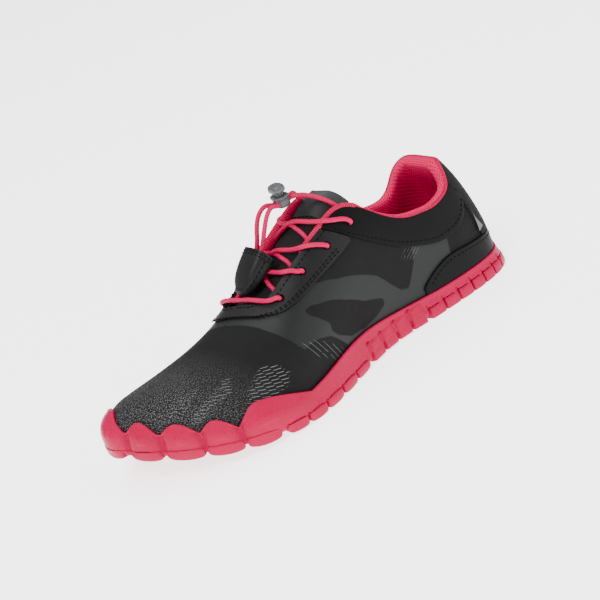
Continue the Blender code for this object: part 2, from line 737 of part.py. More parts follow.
def make_lining():
    """Padded lining inside the collar, with a bead that stands above the upper's edge."""
    loops = []
    face = -(UPPER_WALL + INNER_CLEARANCE)
    for station in side_stations(0, LINING_FRONT, UPPER_STEP, (3.34,)):
        edge = opening(station)
        at = abs(station)
        full = np.interp(at, (0, 3.0, LINING_FRONT), (1.0, 0.75, 0.0))
        pad = LINING_END + (LINING_PAD - LINING_END) * full
        reach = np.linalg.norm(shell(station, edge + 0.01) - shell(station, edge)) / 0.01
        bead = LINING_BEAD / reach
        low = edge * (1 - LINING_DEPTH)
        profile = (
            (low, face),
            ((low + edge) / 2, face),
            (edge - bead * 0.2, face),
            (edge + bead * 0.45, face + (UPPER_WALL + INNER_CLEARANCE) * 0.6 * full),
            (edge + bead, face - pad * 0.15),
            (edge + bead * 0.9, face - pad * 0.65),
            (edge - bead * 0.6, face - pad),
            ((low + edge) / 2, face - pad * 0.8),
            (low, face - LINING_END),
        )
        loops.append([shell(station, rise, out) for rise, out in profile])
    return place("collar_lining", loft("collar_lining", loops), LINING)


def make_tongue():
    """Padded tongue, drawn under the throat from the ankle to the vamp."""
    rows = 6
    loops = []
    far = TONGUE_EDGE[-1][0]
    for share in np.linspace(0, 1, 10):
        outer = []
        for row in np.linspace(0, 1, rows):
            start = 3.66 + 0.16 * row
            station = start + (far - start) * share
            edge = float(TONGUE_LINE(station))
            outer.append((station, edge + (1 - edge) * row))
        inner = [(ROUND - station, rise) for station, rise in outer[-2::-1]]
        loops.append([shell(station, rise, -TONGUE_DROP) for station, rise in outer + inner])
    data = loft("tongue", loops, ring=False)
    piece = place("tongue", data, TONGUE)
    return solidify(piece, TONGUE_WALL, -sheet_side(data))


def cord_points(points, spacing):
    """Points a fixed distance apart on a smooth curve through chosen ones."""
    points = [Vector(point) for point in points]
    reach = [0.0]
    for near, far in zip(points, points[1:]):
        reach.append(reach[-1] + (far - near).length)
    curve = Smooth(reach, [tuple(point) for point in points])
    count = max(2, round(reach[-1] / spacing))
    return [curve(reach[-1] * i / count) for i in range(count + 1)]


def cord_data(name, points):
    """A round cord as a curve with filled caps."""
    data = bpy.data.curves.new(name, "CURVE")
    data.dimensions = "3D"
    data.bevel_depth = LACE_RADIUS
    data.bevel_resolution = 2
    data.use_fill_caps = True
    line = data.splines.new("POLY")
    line.points.add(len(points) - 1)
    for knot, point in zip(line.points, points):
        knot.co = (*point, 1)
    return data


def make_cord(name, points, spacing=0.0035):
    return place(name, cord_data(name, cord_points(points, spacing)), CORD)


def cord_solid(name, points, collection):
    """A cord as a welded mesh, so that it can be joined to another."""
    curve = place(name + "_line", cord_data(name, points), CORD, collection)
    bpy.context.view_layer.update()
    graph = bpy.context.evaluated_depsgraph_get()
    data = bpy.data.meshes.new_from_object(curve.evaluated_get(graph))
    bpy.data.objects.remove(curve)
    shape = bmesh.new()
    shape.from_mesh(data)
    data.materials.clear()
    bmesh.ops.remove_doubles(shape, verts=shape.verts, dist=1e-5)
    bmesh.ops.recalc_face_normals(shape, faces=shape.faces)
    shape.to_mesh(data)
    shape.free()
    return data


OVER_EYESTAY = CLEARANCE + OVERLAY + CLEARANCE + LACE_RADIUS
OVER_TONGUE = -TONGUE_DROP + CLEARANCE + LACE_RADIUS
EYELET_CAP = 0.0006


def across(station, share, out, side=1):
    """A point off the last at a share of its half width, which is negative on the other side."""
    rise = math.acos(min(abs(share), 1) ** (float(SQUARENESS(station)) / 2)) * 2 / math.pi
    return shell(station if share * side >= 0 else ROUND - station, rise, out)


def width_share(station, rise):
    """The share of the half width that a rise has at a station."""
    return math.cos(rise * math.pi / 2) ** (2 / float(SQUARENESS(station)))


def strand(number, side):
    """Points of one strand: from an eyelet down over the tongue to the other side's edge."""
    station, rise = EYELETS[number]
    near, middle, far = STRANDS[number - 1]
    start = width_share(station, rise)
    edge = width_share(near, opening(near if side > 0 else ROUND - near))
    end = width_share(far, opening(ROUND - far if side > 0 else far))
    high = OVER_EYESTAY + EYELET_CAP
    route = (
        (station, start, high),
        ((station + near) / 2, (start + edge) / 2 + 0.01, high),
        (near, edge, high),
        (near + (middle - near) * 0.3, edge * 0.72, OVER_TONGUE + 0.0028),
        (near + (middle - near) * 0.65, edge * 0.38, OVER_TONGUE + 0.0012),
        (middle, 0.0, OVER_TONGUE + 0.0008),
        ((middle + far) / 2, -end * 0.42, OVER_TONGUE + 0.0006),
        (far, 0.075 - end, OVER_TONGUE + 0.0004),
    )
    return cord_points([across(*spot, side) for spot in route], 0.0052)


def make_crossing(number):
    """Two strands of the lace that cross over the tongue, joined where they cross."""
    name = f"lace_crossing_{number}"
    second = tool_collection(name + "_strand")
    other = cord_solid(name, strand(number, -1), second)
    tool(name + "_inner", other, second)
    data = cord_solid(name, strand(number, 1), PARTS)
    piece = place(name, data, CORD)
    boolean(piece, second, "UNION")
    return piece


def make_bottom_bar():
    """The lowest stretch of the lace, which spans the throat's front end from eyelet to eyelet."""
    station, rise = EYELETS[0]
    route = (
        (station, rise, OVER_EYESTAY + EYELET_CAP),
        (station + 0.10, rise + 0.10, OVER_EYESTAY + 0.0004),
        (station + 0.22, 0.88, OVER_EYESTAY + 0.0004),
        (station + 0.285, 1.0, OVER_EYESTAY + 0.0006),
        (ROUND - station - 0.22, 0.88, OVER_EYESTAY + 0.0004),
        (ROUND - station - 0.10, rise + 0.10, OVER_EYESTAY + 0.0004),
        (ROUND - station, rise, OVER_EYESTAY + EYELET_CAP),
    )
    return make_cord("lace_bar_1", [shell(*spot) for spot in route], 0.0042)


def lace_top(side):
    """Foot of a free lace end, from the throat's edge up off the tongue."""
    (near, start), (far, lifted) = LACE_TOP_START
    return [across(near, start, OVER_TONGUE + 0.0006, side), across(far, lifted, OVER_TONGUE + 0.0012, side)]


# Pocket for the lace's tail. Each row: share of its length from the mouth, half width at its
# base and at its face, depth, all as shares of POCKET_LENGTH.
POCKET = (
    (0.00, 0.46, 0.29, 0.50),
    (0.30, 0.41, 0.28, 0.44),
    (0.60, 0.29, 0.23, 0.37),
    (0.85, 0.17, 0.16, 0.30),
    (1.00, 0.11, 0.10, 0.26),
)
POCKET_X = 0.527
POCKET_SEAT = 0.0006


def make_pocket():
    """A pouch that is open towards the ankle and tapers to the toe."""
    mouth_x = POCKET_X * LENGTH
    tip_x = mouth_x + POCKET_LENGTH * 0.9
    mouth = Vector((mouth_x, float(RIDGE_Y(mouth_x)), float(RIDGE_Z(mouth_x)) + POCKET_SEAT))
    tip = Vector((tip_x, float(RIDGE_Y(tip_x)), float(RIDGE_Z(tip_x)) + POCKET_SEAT))
    along = (tip - mouth).normalized()
    across = Vector((0, 1, 0))
    up = along.cross(across).normalized()
    if up.z < 0:
        up = -up
    loops = []
    for share, base, face, depth in POCKET:
        centre = mouth + along * (POCKET_LENGTH * share)
        base *= POCKET_LENGTH
        face *= POCKET_LENGTH
        depth *= POCKET_LENGTH
        section = ((0, 0), (base * 0.8, 0), (base, depth * 0.12), (face * 1.05, depth * 0.86),
                   (face * 0.8, depth), (0, depth * 1.04), (-face * 0.8, depth),
                   (-face * 1.05, depth * 0.86), (-base, depth * 0.12), (-base * 0.8, 0))
        loops.append([centre + across * y + up * z for y, z in section])
    data = loft("lace_pocket", loops, caps=False)
    shape = bmesh.new()
    shape.from_mesh(data)
    shape.verts.ensure_lookup_table()
    start = len(shape.verts) - len(loops[0])
    shape.faces.new([shape.verts[start + j] for j in range(len(loops[0]))])
    bmesh.ops.recalc_face_normals(shape, faces=shape.faces)
    shape.to_mesh(data)
    shape.free()
    piece = place("lace_pocket", data, SMOOTH)
    solidify(piece, POCKET_WALL, -1)
    return piece


def rounded(half_x, half_y, height, corners=16, power=2.6):
    """A loop of a rounded oblong at a height."""
    loop = []
    for i in range(corners):
        turn = 2 * math.pi * i / corners
        x = math.copysign(abs(math.cos(turn)) ** (2 / power), math.cos(turn)) * half_x
        y = math.copysign(abs(math.sin(turn)) ** (2 / power), math.sin(turn)) * half_y
        loop.append((x, y, height))
    return loop


STEM_HALF = (0.0024, 0.0034)


def lock_spot():
    """Foot of the cord lock: above the ridge, where the lace's two ends meet."""
    x = 0.4385 * LENGTH
    return Vector((x, float(RIDGE_Y(x)) - 0.0025, float(RIDGE_Z(x)) + LOCK_STAND))


def make_lock():
    """Barrel of the cord lock and, above it, the sprung button whose stem runs in its bore."""
    spot = lock_spot()
    barrel_rows = ((0.0034, 0.0046, 0.0), (0.0040, 0.0054, 0.0010), (0.0042, 0.0058, 0.0045),
                   (0.0045, 0.0063, 0.0060), (0.0042, 0.0060, BARREL_HEIGHT))
    barrel = place("lock_barrel", loft("lock_barrel", [rounded(*row) for row in barrel_rows]), PLASTIC)
    barrel.location = spot
    bores = tool_collection("lock_bore")
    wide = [half + CLEARANCE for half in STEM_HALF]
    depth = STEM_LENGTH + BUTTON_TRAVEL + CLEARANCE
    bore = tool("lock_bore_cutter", loft("lock_bore", [
        rounded(*wide, BARREL_HEIGHT - depth), rounded(*wide, BARREL_HEIGHT + 0.002)]), bores)
    bore.location = spot
    boolean(barrel, bores, "DIFFERENCE")
    gap = BUTTON_TRAVEL + CLEARANCE
    button_rows = ((*STEM_HALF, -gap - STEM_LENGTH + 2 * CLEARANCE), (*STEM_HALF, 0.0),
                   (0.0036, 0.0050, 0.0), (0.0042, 0.0058, 0.0012), (0.0041, 0.0057, 0.0026),
                   (0.0032, 0.0046, 0.0038), (0.0014, 0.0022, BUTTON_HEIGHT))
    button = place("lock_button", loft("lock_button", [rounded(*row) for row in button_rows]), PLASTIC)
    button.location = spot + Vector((0, 0, BARREL_HEIGHT + gap))
    return barrel, button


def clear_scene():
    for item in list(bpy.data.objects):
        bpy.data.objects.remove(item, do_unlink=True)


clear_scene()
PARTS = bpy.data.collections.new("barefoot_shoe")
CUTTERS = bpy.data.collections.new("cutters")
bpy.context.scene.collection.children.link(PARTS)
bpy.context.scene.collection.children.link(CUTTERS)
FRAME = bpy.data.objects.new("shoe_frame", None)
PARTS.objects.link(FRAME)
FRAME.location = (-HEEL_STUD_X * LENGTH, 0, 0)

RUBBER = material("red rubber", (0.62, 0.035, 0.085), 0.55)
FOAM = material("insole foam", (0.50, 0.03, 0.08), 0.85)
KNIT = material("black mesh", (0.012, 0.012, 0.013), 0.8)
SMOOTH = material("black overlay", (0.020, 0.020, 0.021), 0.45)
LINING = material("red lining mesh", (0.60, 0.025, 0.10), 0.85)
TONGUE = material("tongue cloth", (0.016, 0.016, 0.017), 0.7)
CORD = material("red elastic cord", (0.72, 0.05, 0.14), 0.6)
PLASTIC = material("grey plastic", (0.13, 0.135, 0.13), 0.4)

make_outsole()
make_insole()
PUNCHES = eyelet_cutters("eyelet_punch", EYELETS)
make_upper(PUNCHES)
make_lining()
make_band("outer", 1, PUNCHES)
make_band("inner", -1, PUNCHES)
make_eyestay(PUNCHES)
make_counter()
make_heel_tab()
make_tongue()
make_bottom_bar()
for crossing in range(1, len(EYELETS)):
    make_crossing(crossing)
make_pocket()
make_cord("lace_top_outer", lace_top(1) + list(LACE_TOP_OUTER))
make_cord("lace_top_inner", lace_top(-1) + list(LACE_TOP_INNER))
make_cord("lace_tail_outer", LACE_TAIL_OUTER)
make_cord("lace_tail_inner", LACE_TAIL_INNER)
make_lock()
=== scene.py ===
# %% [markdown]
# # A left barefoot shoe, dressed for its picture
#
# The imported model gives the shoe's real sizes. This script hides most of its plain solids behind
# finer pieces of the same shape, gives every piece a material, and sets up the camera and light.

# %% The frame
# The imported model comes first.
import math

import bmesh
import bpy
import numpy as np
from mathutils import Matrix, Vector


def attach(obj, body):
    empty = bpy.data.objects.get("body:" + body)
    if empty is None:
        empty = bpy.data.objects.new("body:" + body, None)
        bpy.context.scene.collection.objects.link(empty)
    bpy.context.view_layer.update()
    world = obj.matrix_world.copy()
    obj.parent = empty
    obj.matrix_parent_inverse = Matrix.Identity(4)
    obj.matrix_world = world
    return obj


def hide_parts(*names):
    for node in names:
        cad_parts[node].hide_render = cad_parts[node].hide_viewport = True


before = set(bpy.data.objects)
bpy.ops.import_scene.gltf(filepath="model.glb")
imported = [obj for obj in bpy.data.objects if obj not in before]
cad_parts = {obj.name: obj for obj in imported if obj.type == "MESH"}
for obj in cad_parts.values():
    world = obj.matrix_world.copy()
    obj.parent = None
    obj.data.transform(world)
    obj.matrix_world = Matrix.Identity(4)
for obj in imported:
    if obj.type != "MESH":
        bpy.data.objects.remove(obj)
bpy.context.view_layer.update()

# %% [markdown]
# ## The last
# The solids are all cut from one surface, so the finer pieces are too. These are the same
# driving sizes and tables as the CAD model's, in metres from the back of the heel.

# %% Sizes and tables of the last
LENGTH = 0.268
BALL_WIDTH = 0.096
INSTEP_HEIGHT = 0.100
TOE_SPRING = 0.0178
ARCH_RISE = 0.0015
CUP_HEIGHT = 0.020
STEP_HEIGHT = 0.005
LUG_HEIGHT = 0.003
PLATE = 0.0037
FEATHER_INSET = 0.004
RIM_WALL = 0.0018
LUG_REACH = 0.0005
LOBE_BULGE = 0.0012
STUD_RADIUS = 0.0055
HEEL_STUD_RADIUS = 0.0080
UPPER_WALL = 0.0016
OVERLAY = 0.0010
LINING_PAD = 0.0055
LINING_END = 0.0010
LINING_BEAD = 0.0026
TONGUE_WALL = 0.0024
EYELET_RADIUS = 0.0021
LACE_RADIUS = 0.0014
POCKET_LENGTH = 0.0245
POCKET_WALL = 0.0010
BARREL_HEIGHT = 0.0070
BUTTON_TRAVEL = 0.0020
LOCK_STAND = 0.0075
CLEARANCE = 0.0003
OVERLAY_LIFT = 0.0004
INNER_CLEARANCE = 0.0007

# Heights that follow from them
PLATE_TOP = LUG_HEIGHT + PLATE
FEATHER = PLATE_TOP + CLEARANCE
TONGUE_DROP = UPPER_WALL + INNER_CLEARANCE + LINING_END + 2 * CLEARANCE

# Sections of the last. Each row: name, x of the ridge point, x and y of the outline on the
# outer side, x and y on the inner side, squareness of the section. The x values are shares
# of LENGTH and the y values shares of half BALL_WIDTH.
SECTIONS = (
    ("heel_back", 0.135, 0.017, 0.03, 0.017, 0.03, 2.3),
    ("heel_turn", 0.150, 0.032, 0.54, 0.036, -0.42, 2.4),
    ("heel", 0.185, 0.115, 0.73, 0.120, -0.62, 2.6),
    ("quarter", 0.260, 0.235, 0.71, 0.250, -0.60, 2.9),
    ("waist", 0.385, 0.370, 0.69, 0.400, -0.56, 2.8),
    ("instep", 0.530, 0.500, 0.83, 0.560, -0.75, 2.6),
    ("ball", 0.675, 0.640, 1.03, 0.730, -0.97, 2.4),
    ("little_toe", 0.770, 0.780, 0.95, 0.880, -0.95, 2.5),
    ("fourth_toe", 0.813, 0.884, 0.62, 0.972, -0.78, 2.7),
    ("third_toe", 0.843, 0.950, 0.25, 1.006, -0.45, 2.8),
    ("toe_tip", 0.872, 0.992, -0.12, 0.992, -0.12, 2.8),
)

# Side view of the ridge. Each row: x as a share of LENGTH, height as a share of INSTEP_HEIGHT.
RIDGE = ((-0.05, 0.91), (0.12, 0.95), (0.25, 0.99), (0.36, 0.985), (0.42, 0.92), (0.48, 0.825),
         (0.54, 0.73), (0.60, 0.64), (0.70, 0.505), (0.80, 0.42), (0.90, 0.36), (1.00, 0.31),
         (1.10, 0.20))

# Top view of the ridge. Each row: x as a share of LENGTH, y as a share of half BALL_WIDTH.
RIDGE_SWAY = ((-0.05, 0.0), (0.30, 0.0), (0.50, -0.04), (0.70, -0.12), (0.85, -0.23), (1.10, -0.34))

# Rim of the sole's cup between the toes. Each row: station, height as a share of CUP_HEIGHT.
RIM = ((0, 1.10), (0.5, 0.80), (1, 0.62), (2, 0.59), (3, 0.63), (4, 0.82), (4.6, 0.93), (5, 0.92),
       (5.5, 0.83), (6, 0.74), (7, 0.66), (8, 0.74), (9, 0.80), (10, 0.86), (11, 0.95), (12, 0.92),
       (13, 0.82), (14, 0.80), (15, 0.82), (16, 0.85), (17, 0.72), (18, 0.60), (19, 0.62), (19.5, 0.80),
       (20, 1.10))

# Lobes of the rim, one over each toe. Each row: name, middle station, reach towards the heel
# and towards the toe tip in stations, extra height as a share of CUP_HEIGHT.
LOBES = (
    ("little_toe", 6.85, 0.85, 0.45, 0.52),
    ("fourth_toe", 7.66, 0.34, 0.34, 0.30),
    ("third_toe", 8.45, 0.42, 0.45, 0.28),
    ("second_toe", 9.45, 0.45, 0.45, 0.32),
    ("big_toe", 10.95, 0.95, 1.30, 0.42),
)

# Rows of lugs along the edge. Each row: name, first and last station, count, share of each
# pitch that is rubber, how far each lug reaches in from the edge as a share of BALL_WIDTH,
# height of its rib up the side as a share of CUP_HEIGHT, slant of its inner end in stations.
LUG_ROWS = (
    ("outer_heel", 0.45, 3.35, 9, 0.72, 0.10, 0.34, 0.10),
    ("outer_waist", 3.42, 4.70, 4, 0.66, 0.09, 0.66, 0.10),
    ("outer_ball", 4.80, 6.65, 5, 0.74, 0.13, 0.30, 0.06),
    ("inner_ball", 13.10, 14.75, 4, 0.76, 0.13, 0.30, -0.06),
    ("inner_waist", 14.95, 16.55, 5, 0.66, 0.09, 0.60, -0.08),
    ("inner_heel", 16.65, 19.55, 9, 0.72, 0.10, 0.34, -0.10),
)

# Studs inside the edge lugs. Each row: name, x as a share of LENGTH, y as a share of half
# BALL_WIDTH, radius as a share of STUD_RADIUS.
STUDS = (
    ("heel_fore", 0.225, 0.03, 1.0),
    ("heel_left", 0.105, 0.30, 0.8),
    ("heel_right", 0.105, -0.26, 0.8),
    ("arch", 0.300, 0.05, 0.9),
    ("ball_outer", 0.600, 0.42, 1.1),
    ("ball_middle", 0.600, 0.02, 1.1),
    ("ball_inner", 0.605, -0.38, 1.1),
    ("fore_outer", 0.690, 0.52, 1.1),
    ("fore_middle", 0.700, 0.12, 1.1),
    ("fore_inner", 0.710, -0.30, 1.1),
    ("toe_outer", 0.765, 0.36, 0.9),
    ("toe_inner", 0.780, -0.08, 0.9),
)
HEEL_STUD_X = 0.16

# Opening of the upper. Each row: station, rise on the outer side, rise on the inner side.
OPENING = ((0.0, 0.545, 0.545), (0.5, 0.550, 0.550), (1.0, 0.548, 0.548), (1.2, 0.530, 0.540),
           (1.4, 0.480, 0.520), (1.6, 0.415, 0.490), (1.8, 0.370, 0.440), (2.0, 0.345, 0.360),
           (2.2, 0.325, 0.305), (2.45, 0.305, 0.280), (2.95, 0.308, 0.290), (3.16, 0.332, 0.330),
           (3.34, 0.378, 0.380), (3.50, 0.440, 0.450), (3.64, 0.518, 0.530), (3.79, 0.590, 0.610),
           (3.97, 0.637, 0.680), (4.36, 0.660, 0.710), (4.71, 0.700, 0.725), (5.06, 0.743, 0.750),
           (5.40, 0.765, 0.765), (5.56, 0.786, 0.786))
THROAT_END = (5.56, 5.64, 5.67)
THROAT_END_RISE = (0.786, 0.855, 1.0)

# Lower edge of the smooth band round the collar. Each row: station, rise.
BAND_EDGE = ((1.53, 0.300), (1.60, 0.262), (1.73, 0.229), (1.97, 0.185), (2.23, 0.160), (2.53, 0.145),
             (2.77, 0.149), (3.18, 0.182), (3.45, 0.227), (3.61, 0.273), (3.85, 0.344), (4.00, 0.410),
             (4.14, 0.482), (4.31, 0.612))
BAND_BACK = ((1.53, 0.304), (1.60, 0.355), (1.68, 0.400))

# Outer edge of the eyestay. Each row: station, rise.
EYESTAY_EDGE = ((4.03, 0.402), (4.32, 0.403), (4.69, 0.440), (5.01, 0.480), (5.27, 0.521),
                (5.47, 0.562), (5.65, 0.621), (5.79, 0.737), (5.855, 0.900), (5.87, 1.0))

# Upper edge of the heel counter. Each row: station, height as a share of CUP_HEIGHT.
COUNTER_EDGE = ((0.0, 1.28), (0.5, 1.22), (1.0, 1.20), (1.5, 1.25), (2.15, 1.34), (2.53, 1.41),
                (2.82, 1.31), (3.12, 1.06), (3.22, 0.90))

# Eyelets of one side, from the toe to the ankle. Each row: station, rise.
EYELETS = ((5.44, 0.672), (4.97, 0.613), (4.44, 0.526), (3.90, 0.486))

# The lace from each eyelet over the tongue to the other side, one eyelet lower. Each row:
# station at the near edge of the throat, on the ridge and at the far edge.
STRANDS = ((5.08, 5.16, 5.36), (4.66, 4.87, 4.98), (4.20, 4.46, 4.57))

# Outer edges of the tongue below the throat. Each row: station, rise.
TONGUE_EDGE = ((3.60, 0.60), (3.90, 0.56), (4.40, 0.57), (5.00, 0.64), (5.85, 0.74))

# Free stretches of the lace to and from the cord lock, as chosen points.
LACE_TOP_OUTER = ((0.1045, 0.0036, 0.0972), (0.1085, 0.0004, 0.0992), (0.1127, -0.0009, 0.0998))
LACE_TOP_INNER = ((0.1050, -0.0090, 0.0972), (0.1088, -0.0064, 0.0992), (0.1127, -0.0053, 0.0998))
LACE_TAIL_OUTER = ((0.1224, -0.0009, 0.0998), (0.1262, -0.0006, 0.1010), (0.1303, -0.0004, 0.0993),
                   (0.1340, -0.0006, 0.0950), (0.1372, -0.0010, 0.0900), (0.1402, -0.0014, 0.0850),
                   (0.1440, -0.0016, 0.0808))
LACE_TAIL_INNER = ((0.1224, -0.0053, 0.0998), (0.1264, -0.0060, 0.1014), (0.1310, -0.0068, 0.1000),
                   (0.1350, -0.0072, 0.0958), (0.1380, -0.0070, 0.0906), (0.1408, -0.0064, 0.0852),
                   (0.1444, -0.0058, 0.0808))

# Where the top lace leaves the throat's edge. Each row: station, share of the half width.
LACE_TOP_START = ((3.93, 0.56), (3.99, 0.36))

HALF = len(SECTIONS) - 1
ROUND = 2 * HALF
RIDGE_BLEND = 0.10
RIDGE_TOUCH = 0.02

# The collar's back leans forward by this much, from one height to another, near the heel.
HEEL_LEAN = 0.0032
LEAN_LOW = 0.030
LEAN_RISE = 0.045
LEAN_FRONT = 0.060
LEAN_REACH = 0.050
print("sections:", len(SECTIONS), "stations:", ROUND)

# %% [markdown]
# ## Smooth curves
# A last is all long, quiet curves, but it is easier to measure at a few stations. So each table
# is joined by a spline, which passes through every row without corners. The outline of the sole,
# the ridge over the foot and the sides between them are each one such curve, and every later
# piece asks them where the surface is.

# %% Curves through the tables
class Smooth:
    """A cubic curve through knots, natural at its ends or closed, for numbers or points."""

    def __init__(self, knots, values, closed=False):
        knots = np.array(knots, float)
        values = np.array(values, float)
        flat = values.reshape(len(knots), -1)
        gap = np.diff(knots)
        slope = (flat[1:] - flat[:-1]) / gap[:, None]
        matrix = np.zeros((len(knots), len(knots)))
        right = np.zeros_like(flat)
        for i in range(1, len(knots) - 1):
            matrix[i, i - 1] = gap[i - 1]
            matrix[i, i] = 2 * (gap[i - 1] + gap[i])
            matrix[i, i + 1] = gap[i]
            right[i] = 6 * (slope[i] - slope[i - 1])
        if closed:
            matrix[0, 0] = 2 * (gap[0] + gap[-1])
            matrix[0, 1] = gap[0]
            matrix[0, -2] = gap[-1]
            right[0] = 6 * (slope[0] - slope[-1])
            matrix[-1, 0] = 1
            matrix[-1, -1] = -1
        else:
            matrix[0, 0] = 1
            matrix[-1, -1] = 1
        self.knots = knots
        self.flat = flat
        self.bend = np.linalg.solve(matrix, right)
        self.shape = values.shape[1:]
        self.closed = closed

    def __call__(self, at):
        at = np.asarray(at, float)
        if self.closed:
            at = self.knots[0] + (at - self.knots[0]) % (self.knots[-1] - self.knots[0])
        i = np.clip(np.searchsorted(self.knots, at, side="right") - 1, 0, len(self.knots) - 2)
        gap = (self.knots[i + 1] - self.knots[i])[..., None]
        back = (self.knots[i + 1] - at)[..., None] / gap
        ahead = (at - self.knots[i])[..., None] / gap
        curve = (back ** 3 - back) * self.bend[i] + (ahead ** 3 - ahead) * self.bend[i + 1]
        value = back * self.flat[i] + ahead * self.flat[i + 1] + curve * gap ** 2 / 6
        return value.reshape(at.shape + self.shape)


SOFT_CORNER = 0.14
CORNER_SHARES = np.linspace(-1, 1, 9)


def steps(table):
    """A line through a table's rows, with its corners rounded and its ends kept."""
    knots = [row[0] for row in table]
    values = [row[1] for row in table]

    def line(at):
        before = SOFT_CORNER if knots[0] == 0 else at - knots[0]
        reach = np.clip(np.minimum(before, knots[-1] - at), 0, SOFT_CORNER)
        nearby = [np.interp(np.abs(at + reach * share), knots, values) for share in CORNER_SHARES]
        return np.mean(nearby, axis=0)

    return line


def fold(values):
    """Lists a value per section round the whole foot: out along one side, back along the other."""
    return list(values) + list(values[-2::-1])


OUTER_SIDE = [(row[2], row[3]) for row in SECTIONS]
INNER_SIDE = [(row[4], row[5]) for row in SECTIONS[-2::-1]]
OUTLINE = Smooth(range(ROUND + 1), np.array(OUTER_SIDE + INNER_SIDE) * [LENGTH, BALL_WIDTH / 2], True)
RIDGE_SPOTS = Smooth(range(HALF + 1), [row[1] * LENGTH for row in SECTIONS])
SQUARENESS = Smooth(range(ROUND + 1), fold([row[6] for row in SECTIONS]), True)
RIDGE_Z = Smooth([x * LENGTH for x, z in RIDGE], [z * INSTEP_HEIGHT for x, z in RIDGE])
RIDGE_Y = Smooth([x * LENGTH for x, y in RIDGE_SWAY], [y * BALL_WIDTH / 2 for x, y in RIDGE_SWAY])
RIM_CURVE = Smooth([row[0] for row in RIM], [row[1] for row in RIM], True)
OPENING_OUTER = steps(OPENING)
OPENING_INNER = steps([(row[0], row[2]) for row in OPENING])
BAND_LINE = steps(BAND_EDGE)
BAND_BACK_LINE = steps(BAND_BACK)
EYESTAY_LINE = steps(EYESTAY_EDGE)
COUNTER_LINE = steps(COUNTER_EDGE)
TONGUE_LINE = steps(TONGUE_EDGE)

SPRING_START = 0.62
SPRING_POWER = 1.8
ARCH_MIDDLE = 0.40
ARCH_REACH = 0.15


def unit(vectors):
    """The same directions at length 1."""
    return vectors / np.linalg.norm(vectors, axis=-1, keepdims=True)


def spring(x):
    """How far the toe end of every level is bent up."""
    share = np.clip((x / LENGTH - SPRING_START) / (1 - SPRING_START), 0, 2)
    return TOE_SPRING * share ** SPRING_POWER


def arch(x):
    """How far the underside is lifted at the waist."""
    share = np.clip(1 - ((x / LENGTH - ARCH_MIDDLE) / ARCH_REACH) ** 2, 0, 1)
    return ARCH_RISE * share ** 2


def ridge_x(station):
    """Where along the ridge a station's section ends, the same for both sides."""
    station = np.asarray(station, float) % ROUND
    return RIDGE_SPOTS(np.minimum(station, ROUND - station))


def outline(station, out=0.0):
    """The sole's outline from above, moved outwards by out."""
    station = np.asarray(station, float)
    small = 1e-3
    along = unit(OUTLINE(station + small) - OUTLINE(station - small))
    outward = np.stack([-along[..., 1], along[..., 0]], -1)
    return OUTLINE(station) + outward * np.asarray(out, float)[..., None]


def last(station, rise):
    """A point of the last."""
    station, rise = np.broadcast_arrays(np.asarray(station, float), np.asarray(rise, float))
    foot = outline(station, -FEATHER_INSET)
    top_x = ridge_x(station)
    top_y = RIDGE_Y(top_x)
    turn = rise * math.pi / 2
    power = 2 / SQUARENESS(station)
    spread = np.maximum(np.cos(turn), 0) ** power
    lift = np.maximum(np.sin(turn), 0) ** power
    x = top_x + (foot[..., 0] - top_x) * spread
    y = top_y + (foot[..., 1] - top_y) * spread
    z = FEATHER + (RIDGE_Z(x) - FEATHER) * lift + spring(x)
    lean = np.clip((z - LEAN_LOW) / LEAN_RISE, 0, 1) * np.clip((LEAN_FRONT - x) / LEAN_REACH, 0, 1)
    x = x + HEEL_LEAN * lean
    return np.stack([x, y, z], -1)


def plain_normal(station, rise):
    """The outward direction of the last, short of the ridge."""
    small = 1e-3
    rise = np.clip(rise, small, 1 - RIDGE_TOUCH)
    along = last(station + small, rise) - last(station - small, rise)
    up = last(station, rise + small) - last(station, rise - small)
    return unit(np.cross(up, along))


def shell(station, rise, out=0.0):
    """A point off the last, out along its normal. Both sides agree on the ridge."""
    station, rise = np.broadcast_arrays(np.asarray(station, float), np.asarray(rise, float))
    near = np.clip((rise - 1 + RIDGE_BLEND) / RIDGE_BLEND, 0, 1)[..., None] / 2
    normal = plain_normal(station, rise) * (1 - near) + plain_normal(ROUND - station, rise) * near
    return last(station, rise) + unit(normal) * np.asarray(out, float)[..., None]


def rise_at(station, height):
    """The rise where the last reaches a height above the toe spring."""
    station, height = np.broadcast_arrays(np.asarray(station, float), np.asarray(height, float))
    rise = np.full(station.shape, 0.1)
    for _ in range(8):
        point = last(station, rise)
        lift = np.clip((height - FEATHER) / (RIDGE_Z(point[..., 0]) - FEATHER), 0, 1)
        rise = np.arcsin(lift ** (SQUARENESS(station) / 2)) * 2 / math.pi
    return rise


def lobe(station):
    """Height share that the toe lobes add to the rim at a station."""
    station = np.asarray(station, float) % ROUND
    total = np.zeros(station.shape)
    for name, middle, back, front, height in LOBES:
        offset = (station - middle) / np.where(station < middle, back, front)
        total = np.maximum(total, np.where(np.abs(offset) < 1, height * np.cos(offset * math.pi / 2), 0))
    return total


def rim_height(station):
    """Height of the cup's rim above the toe spring."""
    return CUP_HEIGHT * (RIM_CURVE(station) + lobe(station))


def opening(station):
    """Rise of the upper's edge at a station of either side."""
    station = station % ROUND
    side = OPENING_OUTER if station < HALF else OPENING_INNER
    station = min(station, ROUND - station)
    if station >= THROAT_END[-1]:
        return 1.0
    if station > THROAT_END[0]:
        return float(np.interp(station, THROAT_END, THROAT_END_RISE))
    return float(side(station))


print("ridge over the instep:", round(float(RIDGE_Z(0.5 * LENGTH)) * 1000, 1), "mm")

# %% [markdown]
# ## The shared frame
# The parts were drawn from the back of the heel, while the shared model has its origin under the
# heel's tread. One shift along the shoe joins the two, so that each finished piece lies on the
# solid that it dresses.

